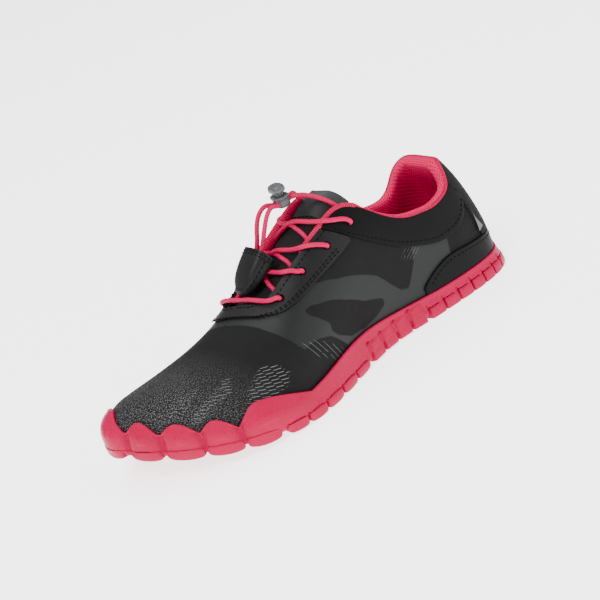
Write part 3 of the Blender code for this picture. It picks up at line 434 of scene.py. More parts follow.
# %% Where the CAD's frame lies
ORIGIN = np.array([HEEL_STUD_X * LENGTH, 0.0, 0.0])
MM = 0.001


def to_frame(points):
    """Points measured from the back of the heel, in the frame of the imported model."""
    return np.asarray(points, float) - ORIGIN


# %% [markdown]
# ## Building pieces
# A soft piece is a fine grid over the last. Each grid point keeps its station and its rise in
# millimetres as a UV, so that weaves, prints and stitches are drawn at their real size.

# %% Grids
GIRTH_RISE = 0.35
GIRTH_STATIONS = np.linspace(0, ROUND, 801)


def run_length(points):
    """Distance along a path to each of its points."""
    gaps = np.linalg.norm(np.diff(np.array(points), axis=0), axis=-1)
    return np.concatenate([[0], np.cumsum(gaps)])


GIRTH = run_length(last(GIRTH_STATIONS, GIRTH_RISE)) * 1000
print("girth:", round(GIRTH[-1]), "mm")


def along_mm(station):
    """Distance round the foot in millimetres, so that a print keeps its size."""
    turns = np.floor(np.asarray(station, float) / ROUND)
    return np.interp(np.asarray(station) - turns * ROUND, GIRTH_STATIONS, GIRTH) + turns * GIRTH[-1]


def add_piece(name, data, look, body="shoe"):
    """Puts mesh or curve data in the scene as one finished piece."""
    piece = bpy.data.objects.new(name, data)
    bpy.context.scene.collection.objects.link(piece)
    data.materials.append(look)
    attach(piece, body)
    return piece


WELD = 2e-6


def grid_data(name, points, uvs=None, closed=(False, False), values=None):
    """Mesh data from a grid of points. closed joins the last column or row to the first."""
    columns, rows = points.shape[:2]
    index = np.arange(columns * rows).reshape(columns, rows)
    near = index if closed[0] else index[:-1]
    far = np.roll(index, -1, axis=0) if closed[0] else index[1:]
    if closed[1]:
        corners = (near, np.roll(near, -1, axis=1), np.roll(far, -1, axis=1), far)
    else:
        corners = (near[:, :-1], near[:, 1:], far[:, 1:], far[:, :-1])
    faces = np.stack(corners, -1).reshape(-1, 4)
    data = bpy.data.meshes.new(name)
    data.from_pydata(to_frame(points).reshape(-1, 3).tolist(), [], faces.tolist())
    if uvs is not None:
        layer = data.uv_layers.new(name="mm")
        loops = np.empty(len(data.loops), int)
        data.loops.foreach_get("vertex_index", loops)
        layer.data.foreach_set("uv", uvs.reshape(-1, 2)[loops].ravel())
    for key, value in (values or {}).items():
        layer = data.attributes.new(key, "FLOAT", "POINT")
        layer.data.foreach_set("value", np.broadcast_to(value, (columns, rows)).ravel())
    shape = bmesh.new()
    shape.from_mesh(data)
    bmesh.ops.remove_doubles(shape, verts=shape.verts, dist=WELD)
    bmesh.ops.dissolve_degenerate(shape, edges=shape.edges, dist=WELD / 2)
    bmesh.ops.recalc_face_normals(shape, faces=shape.faces)
    shape.to_mesh(data)
    shape.free()
    data.shade_smooth()
    return data


def loft(shape, loops):
    """Adds a closed skin over loops of points to a mesh."""
    rows = [[shape.verts.new(tuple(to_frame(point))) for point in loop] for loop in loops]
    count = len(rows[0])
    for near, far in zip(rows, rows[1:]):
        for j in range(count):
            shape.faces.new((near[j], near[(j + 1) % count], far[(j + 1) % count], far[j]))
    shape.faces.new(rows[0])
    shape.faces.new(rows[-1])


def lofted_data(name, shape):
    """Mesh data from a finished set of lofts."""
    bmesh.ops.recalc_face_normals(shape, faces=shape.faces)
    data = bpy.data.meshes.new(name)
    shape.to_mesh(data)
    shape.free()
    data.shade_smooth()
    return data


def outward(data):
    """1 if a sheet's faces point away from the shoe's middle, else -1."""
    middle = Vector(to_frame((LENGTH * 0.45, 0, INSTEP_HEIGHT * 0.3)))
    total = sum(face.normal.dot(face.center - middle) * face.area for face in data.polygons)
    return 1 if total > 0 else -1


def round_edges(piece, width, angle):
    """Rounds the edges of a piece that are sharper than an angle in degrees."""
    edge = piece.modifiers.new("rounding", "BEVEL")
    edge.width = width
    edge.segments = 2
    edge.limit_method = "ANGLE"
    edge.angle_limit = math.radians(angle)


def give_wall(piece, thickness, offset, rounding=0.0):
    """Thickens a sheet, and rounds its cut edges."""
    wall = piece.modifiers.new("wall", "SOLIDIFY")
    wall.thickness = thickness
    wall.offset = offset
    if rounding:
        round_edges(piece, rounding, 60)


PUNCH_REACH = (-0.006, 0.005)


def punch(piece, spots, radius):
    """Cuts round holes through a finished sheet, at rows of station and rise."""
    shape = bmesh.new()
    for station, rise in spots:
        low, high = (Vector(to_frame(shell(station, rise, out))) for out in PUNCH_REACH)
        turned = (high - low).to_track_quat("Z", "Y").to_matrix().to_4x4()
        place = Matrix.Translation((low + high) / 2) @ turned
        bmesh.ops.create_cone(shape, cap_ends=True, segments=32, radius1=radius, radius2=radius,
                              depth=(high - low).length, matrix=place)
    data = bpy.data.meshes.new("punch")
    shape.to_mesh(data)
    shape.free()
    tool = bpy.data.objects.new("punch", data)
    bpy.context.scene.collection.objects.link(tool)
    cut = piece.modifiers.new("holes", "BOOLEAN")
    cut.operation = "DIFFERENCE"
    cut.solver = "EXACT"
    cut.object = tool
    finished = bpy.data.meshes.new_from_object(piece.evaluated_get(bpy.context.evaluated_depsgraph_get()))
    piece.modifiers.clear()
    piece.data = finished
    bpy.data.objects.remove(tool)


def column_lengths(points):
    """Distance up each column of a grid in millimetres."""
    steps_up = np.linalg.norm(np.diff(points, axis=1), axis=-1)
    start = np.zeros((len(points), 1))
    return np.concatenate([start, np.cumsum(steps_up, axis=1)], axis=1) * 1000


def shell_sheet(name, stations, low, high, rows, out, look, values=None):
    """A fine sheet over the last between two edges, which are functions of the station."""
    stations = np.array(stations, float)
    lows = np.array([low(s) for s in stations])[:, None]
    highs = np.array([high(s) for s in stations])[:, None]
    rises = lows + (highs - lows) * np.linspace(0, 1, rows)[None, :]
    grid = np.broadcast_to(stations[:, None], rises.shape)
    points = shell(grid, rises, out)
    foot = np.linalg.norm(last(stations, lows[:, 0]) - last(stations, lows[:, 0] * 0), axis=-1) * 1000
    uvs = np.stack([along_mm(grid), column_lengths(points) + foot[:, None]], -1)
    fields = values(grid, rises) if values else None
    return add_piece(name, grid_data(name, points, uvs, values=fields), look)


def fine(first, final, step, extra=()):
    """Stations from first to final, evenly, with extra ones where an edge turns."""
    even = np.linspace(first, final, max(2, int(math.ceil(abs(final - first) / step)) + 1))
    inside = [value for value in extra if min(first, final) < value < max(first, final)]
    return np.unique(np.concatenate([even, inside]))


def either(line):
    """Lets a one-sided line serve both sides."""
    return lambda station: float(line(min(station % ROUND, ROUND - station % ROUND)))


# %% [markdown]
# ## Materials
# Each look is a small tree of shader nodes: a weave or a grain at its real size, some uneven
# colour, and a bump. Sheen and coat are fixed numbers on the shader.

# %% Short calls for shader nodes
class Wave:
    """A number that a shader works out at each spot, so that sums with it read plainly."""

    def __init__(self, look, socket):
        self.look = look
        self.socket = socket

    def __add__(self, other):
        return self.look.math("ADD", self, other)

    def __sub__(self, other):
        return self.look.math("SUBTRACT", self, other)

    def __rsub__(self, other):
        return self.look.math("SUBTRACT", other, self)

    def __mul__(self, other):
        return self.look.math("MULTIPLY", self, other)

    def __truediv__(self, other):
        return self.look.math("DIVIDE", self, other)


class Look:
    """A material under construction."""

    def __init__(self, name, roughness, shine=0.5):
        self.material = bpy.data.materials.new(name)
        self.material.use_nodes = True
        self.tree = self.material.node_tree
        self.shader = self.tree.nodes["Principled BSDF"]
        self.shader.inputs["Roughness"].default_value = roughness
        self.shader.inputs["Specular IOR Level"].default_value = shine

    def feed(self, socket, value):
        """Sets a socket to a fixed value, or links a node's output to it."""
        if isinstance(value, Wave):
            value = value.socket
        if isinstance(value, bpy.types.NodeSocket):
            self.tree.links.new(value, socket)
        else:
            socket.default_value = value

    def put(self, kind, inputs=None, **settings):
        """Adds a node with its settings and inputs."""
        made = self.tree.nodes.new(kind)
        for key, value in settings.items():
            setattr(made, key, value)
        for key, value in (inputs or {}).items():
            self.feed(made.inputs[key], value)
        return made

    def wave(self, kind, inputs, **settings):
        """Adds a node whose first output is a number."""
        return Wave(self, self.put(kind, inputs, **settings).outputs[0])

    def math(self, operation, a, b=0.0, clamp=False):
        return self.wave("ShaderNodeMath", {0: a, 1: b}, operation=operation, use_clamp=clamp)

    def mix(self, factor, a, b):
        """A colour between two others."""
        made = self.put("ShaderNodeMix", {0: factor}, data_type="RGBA")
        for socket, value in ((made.inputs[6], a), (made.inputs[7], b)):
            self.feed(socket, (*value, 1) if isinstance(value, tuple) else value)
        return made.outputs[2]

    def place(self):
        """Object coordinates in millimetres."""
        spot = self.put("ShaderNodeTexCoord").outputs["Object"]
        return self.put("ShaderNodeVectorMath", {0: spot, "Scale": 1000.0}, operation="SCALE").outputs[0]

    def flat(self):
        """The UV in millimetres: along the foot and up it."""
        return self.put("ShaderNodeUVMap", uv_map="mm").outputs[0]

    def parts(self, vector):
        """The first two numbers of a vector."""
        split = self.put("ShaderNodeSeparateXYZ", {0: vector})
        return Wave(self, split.outputs[0]), Wave(self, split.outputs[1])

    def field(self, name):
        """A number stored on the mesh."""
        return Wave(self, self.put("ShaderNodeAttribute", attribute_name=name).outputs["Fac"])

    def noise(self, vector, scale, detail=2.0):
        return self.wave("ShaderNodeTexNoise", {"Vector": vector, "Scale": scale, "Detail": detail})

    def cells(self, vector, scale, randomness):
        return self.wave("ShaderNodeTexVoronoi",
                         {"Vector": vector, "Scale": scale, "Randomness": randomness})

    def step(self, value, low, high):
        """A rise from 0 to 1 between two limits."""
        return self.wave("ShaderNodeMapRange", {0: value, 1: low, 2: high, 3: 0.0, 4: 1.0})

    def colour(self, value):
        self.feed(self.shader.inputs["Base Color"], value)

    def rough(self, value):
        self.feed(self.shader.inputs["Roughness"], value)

    def bump(self, height, distance, strength, before=None):
        """Raises the surface by a height, on top of an earlier bump."""
        inputs = {"Height": height, "Distance": distance, "Strength": strength}
        if before:
            inputs["Normal"] = before
        normal = self.put("ShaderNodeBump", inputs).outputs[0]
        self.feed(self.shader.inputs["Normal"], normal)
        return normal

    def hexagons(self, vector, pitch):
        """Distance from the middle of rows of staggered cells, 0 in the middle."""
        along, up = self.parts(vector)
        row = up / (pitch * 0.866)
        odd = self.math("MODULO", self.math("FLOOR", row), 2.0)
        x = self.math("FRACT", along / pitch + odd * 0.5) - 0.5
        y = self.math("FRACT", row) - 0.5
        return self.math("SQRT", x * x + y * y)


def mottled(name, roughness, shine, scale, dark, light, detail=3.0):
    """A look whose colour drifts between two close ones, and its coordinates."""
    look = Look(name, roughness, shine)
    spot = look.place()
    look.colour(look.mix(look.noise(spot, scale, detail), dark, light))
    return look, spot

# %% [markdown]
# ### Red rubber
# Moulded rubber is matt, slightly uneven in colour and very finely grained. An image could show
# that, but noise at its real size costs nothing and has no seams. Two close reds are mixed by a
# slow noise, and a fine one gives the grain.

# %% Rubber of the sole
rubber, spot = mottled("red_rubber", 0.5, 0.08, 0.035, (0.31, 0.0002, 0.030), (0.41, 0.0006, 0.046))
rubber.rough(rubber.step(rubber.noise(spot, 0.4, 4.0), 0.1, 1.3))
rubber.bump(rubber.noise(spot, 2.2, 3.0), 0.00008, 0.3)
print("look:", rubber.material.name)

# %% [markdown]
# ### Black overlays
# The collar bands, the eyestay and the counter are thin synthetic leather: black, closed, with a
# fine pebble. Cells of about half a millimetre make the pebble as a low bump.

# %% Smooth overlays
def pebbled(name, dark, light, shine):
    """Closed black synthetic leather with a fine pebble."""
    look, spot = mottled(name, 0.5, shine, 0.05, (dark,) * 3, (light,) * 3)
    look.rough(look.step(look.noise(spot, 0.8, 5.0), -0.2, 1.3))
    look.bump(look.cells(spot, 1.6, 0.9), 0.00010, 0.35)
    return look


overlay = pebbled("black_overlay", 0.0018, 0.0040, 0.07)
upper_overlay = pebbled("charcoal_overlay", 0.0055, 0.0095, 0.13)
print("looks:", overlay.material.name, upper_overlay.material.name)

# %% [markdown]
# ### Knit, film and print
# The upper is black knit. Grey film is printed over its sides, leaving dark windows, and lines
# of thin dashes lie on top. All of it could be painted as a picture. Here numbers stored on the
# mesh say where film, dashes and dots lie, and the shader mixes the finishes from them, so edges
# stay sharp at any distance. Dashes climb in steps: the length is cut into rungs, and each rung
# shifts the lanes up a little.

# %% Knit of the upper, with its film print, dashes and dotted toe
DASH_LENGTH = 4.8
DASH_CLIMB = 1.1
DASH_LANE = 2.3
HATCH_PITCH = 3.4
knit = Look("black_knit", 0.75, 0.14)
flat = knit.flat()
along, up = knit.parts(flat)
broken = knit.math("GREATER_THAN", knit.noise(flat, 0.25, 1.0), 0.36)
stair = along / DASH_LENGTH
climb = up - along * 0.25 + knit.math("FLOOR", stair) * DASH_CLIMB
lane = knit.math("FRACT", climb / DASH_LANE)
thin = knit.math("LESS_THAN", knit.math("ABSOLUTE", lane - 0.5), 0.075)
whole = knit.math("GREATER_THAN", knit.math("FRACT", stair), 0.12)
dashes = thin * whole * (broken * knit.field("dashes"))
lean = up * (knit.field("front") * -1.9 + 1.5)
line = knit.math("LESS_THAN", knit.math("FRACT", (along + lean) / HATCH_PITCH), 0.10)
hatch = knit.math("MULTIPLY", line * broken, knit.field("hatch"), True)
marks = knit.math("MAXIMUM", dashes, hatch * 0.6) * 0.85

film = knit.step(knit.field("film"), -0.25, 0.25)
toe = knit.step(knit.field("toe"), 22.0, 70.0)
speck = knit.step(knit.noise(flat, 1.5, 1.0), 0.52, 0.68) * toe
base = knit.mix(knit.noise(flat, 0.06, 3.0), (0.0038, 0.0034, 0.0035), (0.0074, 0.0067, 0.0069))
worn = knit.mix(speck * 0.85, base, (0.16, 0.163, 0.163))
printed = knit.mix(film, worn, (0.0110, 0.0117, 0.0117))
knit.colour(knit.mix(marks, printed, (0.16, 0.165, 0.165)))
knit.rough(0.80 - film * 0.36)
weave = knit.bump(knit.hexagons(flat, 0.62) * (1.0 - film * 0.8), 0.00018, 0.6)
pits = knit.step(knit.hexagons(flat, 1.15), 0.30, 0.42)
knit.bump(pits * toe + marks * 0.6, 0.00022, 0.6, weave)
print("knit nodes:", len(knit.tree.nodes))

# %% [markdown]
# ### Red mesh and ribbed tape
# Lining is an open mesh over foam: light threads round small holes, whose darker red is painted
# shade. Staggered rows of cells give the holes, and the bump follows them. The tape round the edges
# is ribbed across, which a sine wave along its length draws, as a bump and as painted shade in the
# troughs between the ribs.

# %% Padded lining and the ribbed binding
lining = Look("red_lining_mesh", 0.8, 0.1)
flat = lining.flat()
pits = lining.step(lining.hexagons(flat, 1.75), 0.22, 0.40)
red = lining.mix(lining.noise(lining.place(), 0.05, 3.0), (0.60, 0.0014, 0.070), (0.74, 0.0026, 0.098))
# Painted shade: the holes of the mesh get a darker red.
lining.colour(lining.mix(pits, (0.38, 0.0012, 0.040), red))
lining.bump(lining.noise(flat, 4.0, 2.0), 0.0001, 0.4, lining.bump(pits, 0.0003, 0.8))

binding = Look("red_binding", 0.75, 0.1)
ribs = binding.math("SINE", binding.parts(binding.flat())[0] * 5.2)
# Painted shade: the red is darker in the troughs between the ribs.
binding.colour(binding.mix(binding.step(ribs, -1.0, 0.3), (0.26, 0.0008, 0.026), (0.56, 0.0020, 0.066)))
binding.bump(ribs, 0.00025, 0.7)
print("looks:", lining.material.name, binding.material.name)

# %% [markdown]
# ### Small finishes
# The lace is a braid: two sine waves that cross along its length give the little bundles, and the
# colour is painted darker between them as shade. The tongue is a soft mesh with a smooth, worn tip.
# Thread, plastic, print and foam are quiet materials, each with a little uneven colour and grain.

# %% Lace, tongue, thread and plastic
lace = Look("red_elastic_cord", 0.5, 0.12)
along, turned = lace.parts(lace.flat())
braid = lace.math("SINE", along * 5.0 + turned) * lace.math("SINE", along * 5.0 - turned)
# Painted shade: the red is darker where the braid's bump is low, between the bundles.
lace.colour(lace.mix(lace.step(braid, -0.6, 0.5), (0.38, 0.0004, 0.042), (0.56, 0.0010, 0.072)))
lace.bump(braid, 0.00012, 0.6)

tongue_cloth = Look("tongue_cloth", 0.75, 0.16)
flat = tongue_cloth.flat()
top = tongue_cloth.field("top")
smooth_top = tongue_cloth.step(top, -0.2, 0.2)
worn = tongue_cloth.step(top, 9.0, 14.0)
blotch = tongue_cloth.noise(flat, 0.08, 3.0)
dark = tongue_cloth.mix(blotch, (0.0050, 0.0045, 0.0048), (0.0100, 0.0090, 0.0095))
topped = tongue_cloth.mix(smooth_top, dark, (0.0090, 0.0092, 0.0095))
tongue_cloth.colour(tongue_cloth.mix(worn * blotch, topped, (0.060, 0.064, 0.064)))
tongue_cloth.rough(0.8 - smooth_top * 0.3)
tongue_cloth.bump(tongue_cloth.hexagons(flat, 0.8) * (1.0 - smooth_top), 0.00025, 0.7)

thread, spot = mottled("black_thread", 0.7, 0.08, 0.3, (0.0008,) * 3, (0.0020,) * 3, 2.0)
thread.bump(thread.noise(spot, 6.0, 2.0), 0.0001, 0.5)

plastic, spot = mottled("grey_plastic", 0.4, 0.5, 0.15, (0.035, 0.039, 0.039), (0.068, 0.074, 0.074))
plastic.rough(plastic.step(plastic.noise(spot, 1.2, 4.0), -0.4, 1.6))
plastic.bump(plastic.noise(spot, 3.0, 3.0), 0.00006, 0.4)

silver, spot = mottled("reflective_print", 0.4, 0.5, 0.6, (0.024, 0.025, 0.025), (0.052, 0.054, 0.054))
silver.bump(silver.cells(spot, 2.5, 0.6), 0.00008, 0.5)

foam, spot = mottled("insole_foam", 0.85, 0.2, 0.4, (0.26, 0.004, 0.020), (0.36, 0.006, 0.034))
foam.bump(foam.cells(spot, 1.1, 0.2), 0.0003, 0.6)
print("looks:", len([m for m in bpy.data.materials if m.use_nodes]))

# %% [markdown]
# ## The camera
# It stands where the photograph was taken: in front of the toe's outer side, a little above,
# and rolled, so that the shoe lies slanted in the picture.

# %% Camera
PHOTO_WIDTH = 600
VIEW_AZIMUTH = math.radians(27)
VIEW_ELEVATION = math.radians(23.5)
VIEW_ROLL = math.radians(23)
VIEW_DISTANCE = 1.094
VIEW_FOCUS = 1897
VIEW_MIDDLE = (300.8, 305.6)
camera_data = bpy.data.cameras.new("camera")
camera = bpy.data.objects.new("camera", camera_data)
bpy.context.scene.collection.objects.link(camera)
target = Vector(to_frame((LENGTH / 2, 0, 0.040)))
back = Vector((math.sin(VIEW_AZIMUTH) * math.cos(VIEW_ELEVATION),
               math.cos(VIEW_AZIMUTH) * math.cos(VIEW_ELEVATION), math.sin(VIEW_ELEVATION)))
right = Vector((-math.cos(VIEW_AZIMUTH), math.sin(VIEW_AZIMUTH), 0))
turned = Matrix((right, back.cross(right), back)).transposed() @ Matrix.Rotation(-VIEW_ROLL, 3, "Z")
camera.matrix_world = Matrix.Translation(target + back * VIEW_DISTANCE) @ turned.to_4x4()
camera_data.sensor_width = 36
camera_data.lens = VIEW_FOCUS / PHOTO_WIDTH * camera_data.sensor_width
camera_data.shift_x = (PHOTO_WIDTH / 2 - VIEW_MIDDLE[0]) / PHOTO_WIDTH
camera_data.shift_y = (VIEW_MIDDLE[1] - PHOTO_WIDTH / 2) / PHOTO_WIDTH
camera_data.clip_start = 0.01
bpy.context.scene.camera = camera
print("camera at", [round(c, 3) for c in camera.location])

# %% [markdown]
# ### The studio
# A product photograph like this one has no visible horizon and only a faint shadow. A curved
# backdrop would do, but a wide plain floor that glows a little gives the same even white from
# every side. Three large lamps keep the shading soft: one in front, one beside and one above.

# %% Floor and light
floor_look = Look("pale_floor", 0.9)
floor_look.colour((0.80, 0.80, 0.81, 1))
floor_look.shader.inputs["Emission Color"].default_value = (1, 1, 1, 1)
floor_look.shader.inputs["Emission Strength"].default_value = 2.6
floor = bpy.data.meshes.new("floor")
floor.from_pydata([(-9, -9, 0), (9, -9, 0), (9, 9, 0), (-9, 9, 0)], [], [(0, 1, 2, 3)])
floor.materials.append(floor_look.material)
floor_object = bpy.data.objects.new("floor", floor)
bpy.context.scene.collection.objects.link(floor_object)


def lamp(name, place, aim, size, power):
    """A square soft lamp."""
    data = bpy.data.lights.new(name, "AREA")
    data.size = size
    data.energy = power
    item = bpy.data.objects.new(name, data)
    item.location = place
    item.rotation_euler = (Vector(aim) - Vector(place)).to_track_quat("-Z", "Y").to_euler()
    bpy.context.scene.collection.objects.link(item)


lamp("key", (0.9, 0.5, 1.4), (0.08, 0, 0.03), 0.7, 30)
lamp("side", (-0.7, 1.1, 0.7), (0.05, 0, 0.03), 0.9, 7)
lamp("top", (0.0, -0.5, 1.5), (0.08, 0, 0.03), 1.0, 20)
world = bpy.data.worlds.new("studio")
world.use_nodes = True
sky = world.node_tree.nodes["Background"].inputs
sky["Color"].default_value = (0.93, 0.95, 1.0, 1)
sky["Strength"].default_value = 0.6
bpy.context.scene.world = world
print("lamps:", len(bpy.data.lights))

# %% [markdown]
# ## The sole
# The cup is one closed grid: inside, over the rim, down the side and under. Its side carries the
# ribs, the step line and a small raised pad on each toe lobe. Lugs are blocks under its edge.
# The functions here turn a station and a height into a point of the sole.

# %% Points of the sole
def raised(flat, height):
    """Points of the plan at a height above the toe spring."""
    return np.concatenate([flat, (height + spring(flat[..., 0]))[..., None]], -1)


def level(station, spread, height):
    """Points of the flat inside or underside of the sole, spread from the ridge line."""
    top_x = ridge_x(station)
    middle = np.stack([top_x, RIDGE_Y(top_x)], -1)
    return raised(middle + (outline(station) - middle) * spread, height)


def cup_side(station, height, out):
    """Points of the cup's side at a height above the toe spring."""
    station, height, out = np.broadcast_arrays(np.asarray(station, float), height, out)
    low = raised(outline(station, out - FEATHER_INSET), height)
    high = shell(station, rise_at(station, np.maximum(height, FEATHER + 1e-7)), out)
    return np.where((height <= FEATHER)[..., None], low, high)


def side_out(station, height):
    """How far the cup's outer face stands off the last at a height."""
    rim = rim_height(station)
    share = np.clip((height - STEP_HEIGHT) / (rim - STEP_HEIGHT), 0, 1)
    rim_out = CLEARANCE + RIM_WALL
    bulge = LOBE_BULGE * lobe(station) / 0.4 * np.sin(math.pi * share)
    return rim_out + (FEATHER_INSET - rim_out) * (1 - share) ** 1.3 + bulge


def arched(points):
    """Lifts points of the underside by the arch."""
    points = np.array(points)
    points[..., 2] += arch(points[..., 0])
    return points


def ground(station, out, height):
    """Points of a lug, at a height above the bent and arched ground."""
    return arched(raised(outline(station, out), height))


print("rim over the little toe:", round(float(rim_height(LOBES[0][1])) * 1000, 1), "mm")

# %% [markdown]
# ### The cup
# The red cup wraps the foot's edge and rises at the toes and the heel. It could be cut from a
# block, but a grid that runs round the foot keeps the polygons where the ribs and toe lobes are.
# Each column knows its place along the edge, so lobes, step line and valleys are all written as
# changes to how far the side stands out.

# %% Cup of the sole
SIDE_ROWS = 34
UNDER_ROWS = (0.86, 0.6, 0.3, 0.0)


def bump_between(value, low, high, soft):
    """1 between two limits with soft ends."""
    rise = np.clip((value - low) / soft, 0, 1) * np.clip((high - value) / soft, 0, 1)
    return rise * rise * (3 - 2 * rise)


def groove(distance, width):
    """1 on a line, falling to 0 at a width from it, in millimetres."""
    return np.clip(1 - np.abs(distance) / width, 0, 1)


STATION_MM = 31.0
VALLEYS = (7.31, 8.02, 8.95, 9.95)
VALLEY_REACH = 0.10

# Depths of cuts, and heights of raised places, in millimetres
HEEL_GAP, HEEL_CUT, HEEL_WEDGE = 1.7, 1.1, 0.5
WAIST_GAP, WAIST_CUT, WAIST_WAVE = 1.1, 0.8, 0.85
BALL_GAP, BALL_ARC = 0.9, 0.6
VALLEY_DEPTH, PAD_HEIGHT, LINE_DEPTH = 2.2, 0.4, 0.2


def heel_ribs(at, above, share, tall, pitch):
    """Wedge-faced blocks, with a cut over each and another that climbs on from the gap."""
    gap = bump_between(at, share + 0.05, 1.06, 0.05) * np.clip((tall - above) / 0.8 + 1, 0, 1)
    top_cut = groove(above - tall, 0.7) * bump_between(at, 0.25 * share, share + 0.1, 0.08)
    along_cut = (at - share - 0.12) * pitch - (above - tall) * 0.45
    up_cut = groove(along_cut, 0.8) * bump_between(above, tall - 0.3, tall + 3.2, 0.5)
    wedge = np.clip(at / share, 0, 1) * bump_between(above, 0.2, tall, 0.7) * (at < share + 0.05)
    return HEEL_WEDGE * wedge - HEEL_GAP * gap - HEEL_CUT * (top_cut + up_cut)


def waist_ribs(at, above, share, tall, pitch):
    """Ribs like waves, each with a slanting cut near its foot."""
    wave = np.clip(at / share, 0, 1) * np.clip((1 - at) / (1 - share) * 2, 0, 1)
    body = bump_between(above, 1.2, tall, 1.2)
    cut = groove(above - 1.4 - 1.6 * at, 0.6) * bump_between(at, 0.0, share, 0.1)
    gap = bump_between(at, share, 1.0, 0.08) * np.clip((tall - above) / 2 + 1, 0, 1)
    return WAIST_WAVE * wave * body - WAIST_CUT * cut - WAIST_GAP * gap


def ball_ribs(at, above, share, tall, pitch):
    """A low arc over each lug, and a short gap between them."""
    arc = np.sqrt(np.clip(1 - ((at - share / 2) / (share / 2)) ** 2, 0, 1))
    over = groove(above - tall * arc - 0.4, 0.8) * bump_between(at, 0.0, share, 0.06)
    gap = bump_between(at, share, 1.0, 0.08) * np.clip(1 - above / 3, 0, 1)
    return -BALL_ARC * over - BALL_GAP * gap


RIBS = {"heel": heel_ribs, "waist": waist_ribs, "ball": ball_ribs}


def carving(station, height, rim):
    """How far the cup's side stands proud or is cut back at its points, in metres."""
    total = np.zeros(station.shape)
    above = (height - STEP_HEIGHT) * 1000
    for name, first, final, count, share, depth, rib, slant in LUG_ROWS:
        pitch = (final - first) / count
        at = ((station - first) / pitch) % 1
        if slant < 0:
            at = 1 - at
        here = bump_between(station, first - 0.03, final + 0.03, 0.03)
        tall = (rib * CUP_HEIGHT - STEP_HEIGHT) * 1000
        total += here * RIBS[name.split("_")[1]](at, above, share, tall, pitch * STATION_MM)
    for middle in VALLEYS:
        fall = np.exp(-((station - middle) / VALLEY_REACH) ** 2)
        total -= VALLEY_DEPTH * fall * np.clip(height / rim * 1.4 - 0.05, 0, 1)
    for name, middle, back_reach, front_reach, tall in LOBES:
        reach = 0.13 + 0.04 * (back_reach > 0.5)
        pad = bump_between(station, middle - reach, middle + reach, 0.035)
        total += PAD_HEIGHT * pad * bump_between(height / rim, 0.50, 0.74, 0.05)
    return (total - LINE_DEPTH * groove(above, 0.6)) * MM


def cup_rows(station):
    """Slices of the cup from the inside over the rim to the underside."""
    rim = rim_height(station)
    rows = [level(station, spread, PLATE_TOP) for spread in (0.0, 0.5, 0.8)]
    for share in (0.0, 0.25, 0.5, 0.75, 0.92):
        rows.append(cup_side(station, PLATE_TOP + (rim - PLATE_TOP) * share, CLEARANCE))
    inner = cup_side(station, rim, CLEARANCE)
    outer = cup_side(station, rim, CLEARANCE + RIM_WALL)
    for turn in np.linspace(math.pi, 0, 7):
        crown = np.array([0, 0, RIM_WALL * 0.42 * math.sin(turn)])
        rows.append((inner + outer) / 2 + (outer - inner) / 2 * math.cos(turn) + crown)
    for share in np.linspace(0.95, 0.0, SIDE_ROWS):
        height = LUG_HEIGHT + (rim - LUG_HEIGHT) * share
        under = FEATHER_INSET - (STEP_HEIGHT - height) * 0.7
        out = np.where(height > STEP_HEIGHT, side_out(station, height), under)
        rows.append(cup_side(station, height, out + carving(station, height, rim)))
    rows += [arched(level(station, spread, LUG_HEIGHT)) for spread in UNDER_ROWS]
    return np.stack(rows, axis=1)


CUP_COLUMNS = 1300
cup_points = cup_rows(np.linspace(0, ROUND, CUP_COLUMNS + 1)[:-1])
cup_data = grid_data("sole_cup", cup_points, closed=(True, False))
sole = add_piece("sole_cup", cup_data, rubber.material)
print("cup:", len(sole.data.polygons), "faces")

# %% [markdown]
# ### Lugs under the edge
# The tread is a row of separate blocks that climb the side as ribs, with studs under the ball and
# the heel. Each block is its own small closed mesh with rounded edges, because rubber blocks
# catch a soft light along their corners.

# %% Lugs and studs
LUG_FILL = 0.13
LOW_RIB = STEP_HEIGHT * 1.15
TREAD_ROUNDING = 0.00045


def lug_loops(stations, depth, ribs, slant, lifts, proud):
    """Sections of one lug under the edge, which goes on as a rib up the side."""
    rib_out = side_out(stations, ribs) + proud
    return np.stack([
        ground(stations + slant, -depth, lifts),
        ground(stations + slant * 0.5, -depth * 0.5, lifts),
        ground(stations, LUG_REACH - 0.0006, lifts),
        ground(stations, LUG_REACH, STEP_HEIGHT * 0.3 + lifts),
        cup_side(stations, STEP_HEIGHT * 1.1, FEATHER_INSET + proud),
        cup_side(stations, ribs, rib_out),
        cup_side(stations, ribs, rib_out - 0.0012),
        cup_side(stations, STEP_HEIGHT * 1.1, FEATHER_INSET - 0.0012),
        ground(stations, -0.0035, LUG_HEIGHT + PLATE / 2),
        ground(stations + slant, -depth, LUG_HEIGHT + PLATE / 2),
    ], axis=1)


